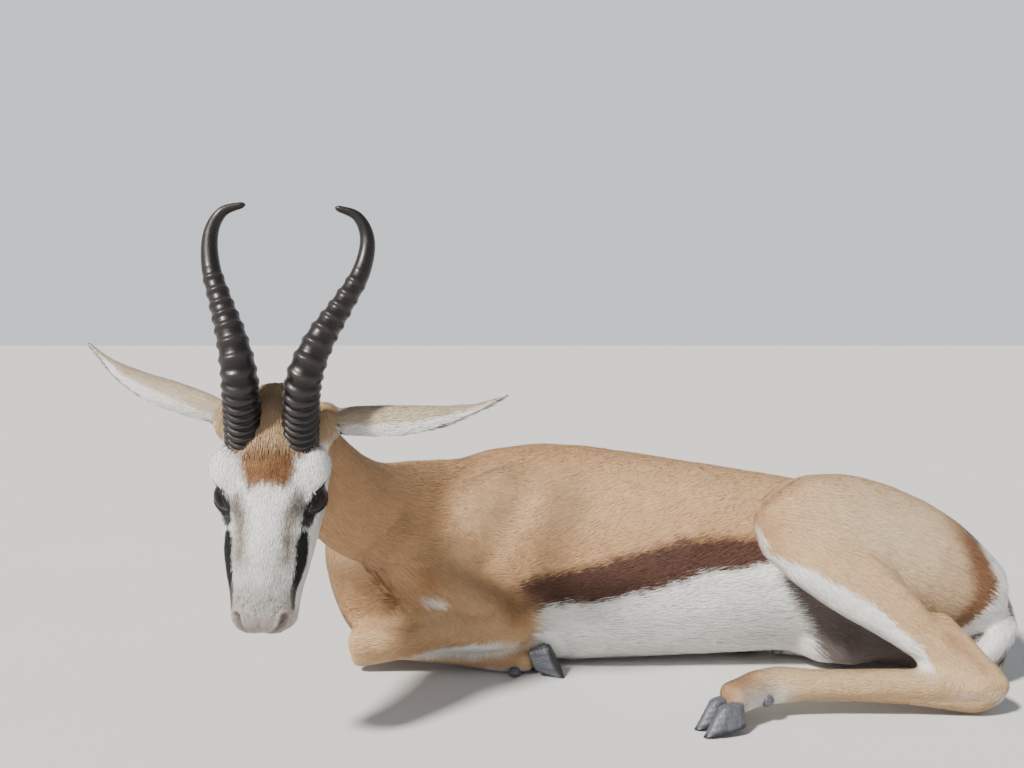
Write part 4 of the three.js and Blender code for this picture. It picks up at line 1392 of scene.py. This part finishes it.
# Pieces of the coat: their parts, and for the trunk the stretch along x
COATS = {
    "coat_chest": (("trunk",), (-400, 60)),
    "coat_flank": (("trunk",), (60, 290)),
    "coat_rump": (("trunk",), (290, 900)),
    "coat_neck": (("neck",), None),
    "coat_head": (("head",), None),
    "coat_ears_tail": (("left_ear", "right_ear", "tail"), None),
    "coat_forelegs": (tuple(n for n in PART_NAMES if "_fore_" in n), None),
    "coat_left_hind": (tuple(n for n in PART_NAMES if n.startswith("left_hind")), None),
    "coat_right_hind": (tuple(n for n in PART_NAMES if n.startswith("right_hind")), None),
}
COAT_LIMIT = 65000  # tufts in a piece, of three triangles each
DENSITY = 1.0
ROOT_DEPTH = 0.3  # how far a root is sunk in the skin
TURN_SPREAD = 0.08  # radians
LENGTH_SPREAD = 0.2
LIFT_SPREAD = 0.4
COLOUR_SPREAD = 0.055
TILT_SPREAD = 0.13
STRAY = 0.14  # of the length
# Of the five points of a tuft, two at its root, two in the middle and the tip
TUFT_FACES = np.array([[0, 3, 1], [0, 2, 3], [2, 4, 3]])
# Painted shade at the root of each tuft, lighter towards the tip
TUFT_ROOT_SHADE = np.array([0.8, 0.8, 0.98, 0.98, 1.08])
TUFT_PATCH = 0.0015 * np.array([(-1, -1), (1, -1), (-0.8, 0), (0.8, 0), (0, 1)])
SKIN_TREE = BVHTree.FromPolygons(skin_points.tolist(), skin_faces.tolist())


def per_vertex(index):
    """One of the tuft numbers of PARTS, blended over the skin."""
    return skin_weights @ np.array([PARTS[n][index] for n in PART_NAMES], float)


def tuft_numbers():
    """Length, width, number in a square centimetre and lift of the tufts at each vertex."""
    length, width, count, lift = (per_vertex(i) for i in (3, 4, 5, 6))
    x, _, z = skin_points.T
    share = {name: skin_weights[:, column] for name, column in COLUMN.items()}
    local, _ = face_coords(skin_points)
    down, _, out = local.T
    _, _, q = eye_coords(local)
    crown = share["head"] * smoothstep(12, -6, down) * smoothstep(-60, -30, out)
    belly = share["trunk"] * smoothstep(125, 150, np.abs(trunk_angle(skin_points)))
    rump = smoothstep(528, 560, x) * (1 - share["tail"])
    # Short on the muzzle and round the eyes, long on the crown, belly and rump
    length *= 1 - 0.5 * share["head"] * smoothstep(90, 150, down)
    length *= 1 + 0.9 * crown
    length *= 1 - 0.5 * share["head"] * smoothstep(3.2, 1.4, q)
    length *= (1 + 0.35 * belly) * (1 + 0.7 * rump)
    lift *= (1 + crown) * (1 + 0.8 * rump + 0.3 * belly)
    # Long at the rims of the ears, sparse within them
    for ear in EARS:
        part, across, deep = ear_places(skin_points, ear)
        rim = share[ear] * above(np.abs(across), 0.8, 0.1)
        inside = share[ear] * below(deep, -2.2, 0.5)
        fringe = rim * window(part, 0.4, 0.65, 0.85, 0.98)
        length *= 1 + 0.4 * rim + 0.5 * fringe
        lift *= 1 + 0.6 * rim + 0.6 * inside
        count *= 1 - 0.45 * inside * (1 - rim)
    # Longest at the end of the tail, and none on bare skin, underneath or past the rims of the hooves
    run, _, _ = along_path(skin_points, TAIL_PATH)
    length *= 1 + 1.2 * share["tail"] * smoothstep(80, 170, run)
    count *= smoothstep(0.6, 0.15, skin_bare) * smoothstep(0.3, 2.5, z)
    for leg in LEGS.values():
        away = skin_points - leg["hoofTop"]
        past = away @ unit(np.subtract(leg["sole"], leg["hoofTop"]))
        count *= np.where(np.linalg.norm(away, axis=1) < 40, smoothstep(12, 6, past), 1)
    return length, width, count, lift


tuft_length, tuft_width, tuft_count, tuft_lift = tuft_numbers()


def nearest_on_skin(points):
    places, normals = np.empty_like(points), np.empty_like(points)
    for i, p in enumerate(points.tolist()):
        found, normal, _, _ = SKIN_TREE.find_nearest(p)
        places[i], normals[i] = found, normal
    return places, normals


def tuft_roots(chosen):
    """Roots spread evenly by area over the chosen triangles: triangle numbers and shares of its corners."""
    faces = skin_faces[chosen]
    a, b, c = (skin_points[faces[:, i]] for i in range(3))
    area = np.linalg.norm(np.cross(b - a, c - a), axis=1) / 2
    wanted = area * tuft_count[faces].mean(1) / 100 * DENSITY
    total = wanted.sum()
    number = min(int(total), COAT_LIMIT)
    marks = (np.arange(number) + random.random(number)) * total / number
    triangle = np.minimum(np.searchsorted(np.cumsum(wanted), marks), len(faces) - 1)
    u, v = random.random(number), random.random(number)
    over = u + v > 1
    u[over], v[over] = 1 - u[over], 1 - v[over]
    return faces[triangle], np.stack([1 - u - v, u, v], 1)


def make_coat(name, parts, stretch):
    """A piece of the coat: thin bent tufts that follow the skin and rise off it towards their tips."""
    owner = hard_weights.argmax(1)[skin_faces[:, 0]]
    chosen = np.isin(owner, [COLUMN[part] for part in parts])
    if stretch:
        x = skin_points[skin_faces, 0].mean(1)
        chosen &= (x >= stretch[0]) & (x < stretch[1])
    corners, shares = tuft_roots(np.flatnonzero(chosen))

    def sampled(values):
        picked = values[corners]
        return np.einsum("ijk,ij->ik", picked, shares) if picked.ndim == 3 else (picked * shares).sum(1)

    root, normal, lie = sampled(skin_points), unit(sampled(skin_normals)), unit(sampled(skin_lie))
    length, width, lift = sampled(tuft_length), sampled(tuft_width), sampled(tuft_lift)
    number = len(root)
    side = unit(np.cross(normal, lie))
    turn = 0.13 * noise(root, 22, 101) + 0.1 * noise(root, 6, 102) + random.normal(0, TURN_SPREAD, number)
    along = unit(lie * np.cos(turn)[:, None] + side * np.sin(turn)[:, None])
    across = np.cross(normal, along)
    length = length * (1 + 0.2 * noise(root, 9, 103) + random.uniform(-LENGTH_SPREAD, LENGTH_SPREAD, number))
    height = 1 + 0.5 * noise(root, 11, 104) + random.uniform(-LIFT_SPREAD, LIFT_SPREAD, number)
    height = length * lift * height

    middle, middle_normal = nearest_on_skin(root + along * (length * 0.5)[:, None])
    tip, tip_normal = nearest_on_skin(root + along * length[:, None])
    middle = middle + middle_normal * (0.5 * height + 0.25)[:, None]
    tip = tip + tip_normal * (height + 0.1)[:, None]
    base = root - normal * ROOT_DEPTH
    half = across * (width / 2)[:, None]
    points = np.stack([base - half, base + half, middle - half * 0.8, middle + half * 0.8, tip], 1)
    points = points.reshape(-1, 3)
    points[:, 2] = np.maximum(points[:, 2], TUFT_CLEAR)
    faces = (5 * np.arange(number)[:, None, None] + TUFT_FACES).reshape(-1, 3)
    coat = mesh_object(name, points, faces)

    # The colour is read a little way off the root, so that the hairs of two markings mix at their edge
    off_root = root + random.normal(0, 1, (number, 3)) * (STRAY * length)[:, None]
    colour, _ = markings(off_root, sampled(skin_weights))
    shade = 1 + random.normal(0, COLOUR_SPREAD, number) + 0.05 * noise(root, 5, 105)
    colour = (colour * shade[:, None])[:, None, :] * TUFT_ROOT_SHADE[None, :, None]
    paint(coat.data, "coat", np.clip(colour, 0, 1).reshape(-1, 3))
    places = unwrap(root, hard_weights[corners[:, 0]])[:, None, :] + TUFT_PATCH
    map_points(coat.data, "OFBake", places.reshape(-1, 2))

    # Shaded as part of the round body, each tuft tilted a little, rather than as a flat blade
    tilt = random.normal(0, TILT_SPREAD, number)[:, None]
    edge = across * 0.3
    lean = np.stack([normal - edge, normal + edge, middle_normal - edge, middle_normal + edge, tip_normal], 1)
    shading = unit(lean + (across * tilt - along * 0.12)[:, None, :]).reshape(-1, 3)
    coat.data.normals_split_custom_set_from_vertices(shading.astype(np.float32))
    finish_piece(coat, COAT_FINISH, "coat")


# Horns, eyes, hooves and dewclaws


def fine_piece(name, points, faces, grain, finish, slot):
    """A finer piece in place of a node, with a place along its grain for each point."""
    piece = mesh_object(f"{name}_fine", points, faces)
    map_points(piece.data, "grain", grain)
    return finish_piece(piece, finish, slot, name)


def make_horn(word, side):
    """Rises forward from the brow, bows out and back, and hooks in at the tip; ringed for three quarters."""
    path = through([
        (-14, HORN_SPREAD - 1, -36), (24, HORN_SPREAD, -13), (66, HORN_SPREAD + 2.5, 9),
        (104, HORN_SPREAD + 13.5, 11), (142, HORN_SPREAD + 30.5, 2), (178, HORN_SPREAD + 45.5, -6),
        (212, HORN_SPREAD + 49.5, -9), (235, HORN_SPREAD + 39, -7), (243.5, HORN_SPREAD + 16.5, -5),
    ])
    girth = through([(radius, 0, 0) for radius in HORN_RADII])
    steps, sides = 340, 48
    u = np.linspace(0, 1, steps)
    curve = path(u)
    lean = HORN_LEAN[0] * smoothstep(0, HORN_LEAN[1], curve[:, 0])
    centre = on_head(np.stack([-curve[:, 0], side * curve[:, 1] + lean, curve[:, 2]], 1))
    along = unit(np.gradient(centre, axis=0))
    up = unit(HEAD_AXES[2] - along * (along @ HEAD_AXES[2])[:, None])
    across = np.cross(up, along)
    angle = 2 * np.pi * np.arange(sides) / sides

    # Bands parted by narrow grooves, wavy and bent down at their front near the base
    sine, cosine = np.sin(angle)[None, :], np.cos(angle)[None, :]
    height = curve[:, :1]
    turns = np.stack([3 * cosine[0], 3 * sine[0], np.zeros(sides)], 1)
    lifted = np.tile(turns, (steps, 1))
    lifted[:, 2] = np.repeat(curve[:, 0], sides) / 14
    wave = noise(turns, 2.0, 111) + 0.6 * noise(lifted, 1.2, 113).reshape(steps, sides)
    shifted = height + 3.6 * sine * smoothstep(120, 50, height)
    shifted = shifted + 1.5 * wave * (1 - 0.5 * smoothstep(20, 90, height))
    phase = np.interp(shifted, HORN_GROOVES, np.arange(len(HORN_GROOVES)))
    # Rounded bands at the base, thin crests on a smooth cone higher up
    thin = smoothstep(40, 120, height)
    rise = np.maximum(np.sin(np.pi * (phase % 1)), 0) ** (1.2 + 4 * thin)
    top, bottom = HORN_GROOVES[-1], HORN_GROOVES[0]
    ringed = window(shifted, bottom, bottom + 6, top - 22, top)
    depth = 2.9 - 1.5 * np.clip(height / top, 0, 1)
    swell = (rise - 0.58 + 0.3 * thin) * depth * ringed * (0.72 + 0.28 * sine)
    place = np.repeat(centre[:, None], sides, axis=1)
    grain = 0.2 * noise(place.reshape(-1, 3), 3.0, 112).reshape(steps, sides)
    radius = girth(u)[:, :1] + swell + grain * smoothstep(140, 90, height)
    blunt = np.clip((u[:, None] - 0.975) / 0.026, 0, 1)  # rounds off the last of the tip
    radius = radius * np.sqrt(1 - blunt**2)
    rings = place + (sine * radius * 1.08)[..., None] * up[:, None]
    rings = rings + (cosine * radius * 1.03)[..., None] * across[:, None]
    points, faces = tube(rings, centre[0] - along[0], centre[-1] + along[-1] * 0.3)
    # Crests paler for wear and painted highlight, hollows between the rings darker as painted shade
    ridge = 0.5 * (1 - ringed) + (rise + 0.66 * thin * (1 - rise)) * (0.8 + 0.2 * sine) * ringed
    grid = np.stack([np.tile(angle / (2 * np.pi), steps), np.repeat(u, sides)], 1)
    grain = np.vstack([[0, 0], grid, [0, 1]])
    horn = fine_piece(f"{word}_horn", points, faces, grain, HORN_FINISH, "horn")
    note(horn.data, "ridge", np.concatenate([[0.2], np.clip(ridge, 0, 1).ravel(), [0.4]]))


def make_eye(word, side):
    """An eyeball with a slight cornea, a level pupil and a dark rim to the iris."""
    fold = np.array([1, side, 1])
    gaze = unit(GAZE) * fold
    level = np.array([0.0, 0.0, 1.0])
    level = unit(level - gaze * (level @ gaze))
    upright = np.cross(gaze, level)
    axes = np.stack([gaze, level, upright]) @ HEAD_AXES
    centre = on_head(EYE_AT * fold)
    points, faces = ellipsoid(centre, axes, (EYE_RADIUS,) * 3, 64, 64)
    toward = unit(points - centre) @ axes.T
    polar = np.degrees(np.arccos(np.clip(toward[:, 0], -1, 1)))
    bulge = 0.7 * smoothstep(50, 20, polar)
    points = points + unit(points - centre) * bulge[:, None]
    pupil = np.hypot(toward[:, 1] / PUPIL_SIZE[0], toward[:, 2] / PUPIL_SIZE[1])
    colour = mix(IRIS, IRIS_EDGE, smoothstep(26, 44, polar))
    colour = mix(colour, EYE_RIM, smoothstep(54, 62, polar))
    colour = mix(PUPIL, colour, smoothstep(0.9, 1.08, pupil))
    turn = np.arctan2(toward[:, 2], toward[:, 1]) / (2 * np.pi)
    grain = np.stack([turn, polar / 90], 1)
    eye = fine_piece(f"{word}_eye", points, faces, grain, EYE_FINISH, "eye")
    paint(eye.data, "iris", colour)


def make_hoof(name, leg, side):
    """One hoof of a cloven foot with its growth lines, from under the hair down to its sole."""
    away = unit(leg["outward"]) * side * HOOF_SPREAD
    start, end = np.array(leg["hoofTop"]) + away, np.array(leg["sole"]) + away
    stations = []
    for u in (0, 0.5, 1):
        stations.append((mix(start, end, u), leg["toeward"], mix(HOOF_TOP, HOOF_SOLE, u), 2.3))
    points, faces = loft(stations, 40, 40, (4, 2))
    along = unit(end - start)
    tall = np.linalg.norm(end - start)
    run = (points - start) @ along
    normals = vertex_normals(points, faces)
    wall = window(run, 0, 5, tall - 3, tall)
    ridges = 0.14 * np.sin(run * 1.2 + 1.2 * noise(points, 9, 121)) * wall
    chips = -0.8 * smoothstep(0.3, 0.8, noise(points, 4, 122)) * smoothstep(tall - 4, tall, run)
    points = points + (ridges + chips - 0.3)[:, None] * normals
    points[:, 2] = np.maximum(points[:, 2], HOOF_CLEAR)
    toe = unit(leg["toeward"])
    offset = points - start
    turn = np.arctan2(offset @ np.cross(along, toe), offset @ toe) / (2 * np.pi)
    hoof = fine_piece(name, points, faces, np.stack([turn, run / 50], 1), HOOF_FINISH, "hoof")
    note(hoof.data, "sole_darkened", smoothstep(tall - 5, tall - 1, run + 1.5 * noise(points, 6, 123)))


def make_dewclaw(name, leg, side):
    """A small blunt claw behind the fetlock."""
    joint = leg.get("hock") or leg["carpus"]
    back = unit(np.subtract(joint, leg["cannonEnd"]))
    at = np.array(leg["cannonEnd"]) - 1.9 * DEWCLAW * back
    out = DEWCLAW_HIND if "hock" in leg else DEWCLAW_FORE
    at = at + unit(leg["outward"]) * side * out + (0, 0, -DEWCLAW)
    across = unit(np.cross((0, 0, 1), back))
    axes = np.stack([back, across, np.cross(back, across)])
    points, faces = ellipsoid(at, axes, (DEWCLAW * 1.15, DEWCLAW, DEWCLAW), 24, 20)
    run = (points - at) @ back
    narrow = 1 - 0.3 * smoothstep(0, -DEWCLAW, run)
    offset = points - at
    offset = offset * narrow[:, None] * (0.93 + 0.03 * np.sin(run * 2.2))[:, None]
    points = at + offset
    points[:, 2] = np.maximum(points[:, 2], HOOF_CLEAR)
    turn = np.arctan2(offset @ across, offset[:, 2]) / (2 * np.pi)
    fine_piece(name, points, faces, np.stack([turn, run / 30], 1), HOOF_FINISH, "hoof")


def make_pieces():
    make_skin()
    for name, (parts, stretch) in COATS.items():
        make_coat(name, parts, stretch)
    for word, side in (("left", 1), ("right", -1)):
        make_horn(word, side)
        make_eye(word, side)
    for name, leg in LEGS.items():
        for place, side in (("outer", 1), ("inner", -1)):
            make_hoof(f"{name}_hoof_{place}", leg, side)
            make_dewclaw(f"{name}_dewclaw_{place}", leg, side)


# Stage, light and camera


def make_stage():
    half = FLOOR_HALF
    corners = np.array([(-half, -half, 0), (half, -half, 0), (half, half, 0), (-half, half, 0)], float)
    floor = mesh_object("floor", corners, np.array([[0, 1, 2, 3]]))
    floor.data.materials.append(floor_material())
    sky = bpy.data.worlds.new("studio")
    sky.use_nodes = True
    tree = sky.node_tree
    place = add(tree, "ShaderNodeTexCoord").outputs["Generated"]
    height = add(tree, "ShaderNodeSeparateXYZ", {"Vector": place}).outputs["Z"]
    background = tree.nodes["Background"]
    tree.links.new(ramp(tree, height, SKY), background.inputs["Color"])
    background.inputs["Strength"].default_value = 1.0
    bpy.context.scene.world = sky


def make_sun():
    """A broad lamp far off, up and to the left of the camera."""
    data = bpy.data.lights.new("key", "SUN")
    data.angle = np.radians(SUN_WIDTH)
    data.energy = SUN_POWER
    data.color = SUN_COLOUR
    lamp = scene_object("key", data)
    lamp.rotation_mode = "QUATERNION"
    lamp.rotation_quaternion = Vector(SUN_WAY).to_track_quat("-Z", "Y")


def make_camera():
    data = bpy.data.cameras.new("camera")
    data.sensor_width = SENSOR
    data.lens = FOCAL_PIXELS / IMAGE_WIDTH * SENSOR
    camera = scene_object("camera", data)
    camera.location = Vector(world(CAMERA_AT))
    camera.rotation_euler = (np.radians(90 - CAMERA_PITCH), 0, 0)
    bpy.context.scene.camera = camera


make_pieces()
make_stage()
make_sun()
make_camera()
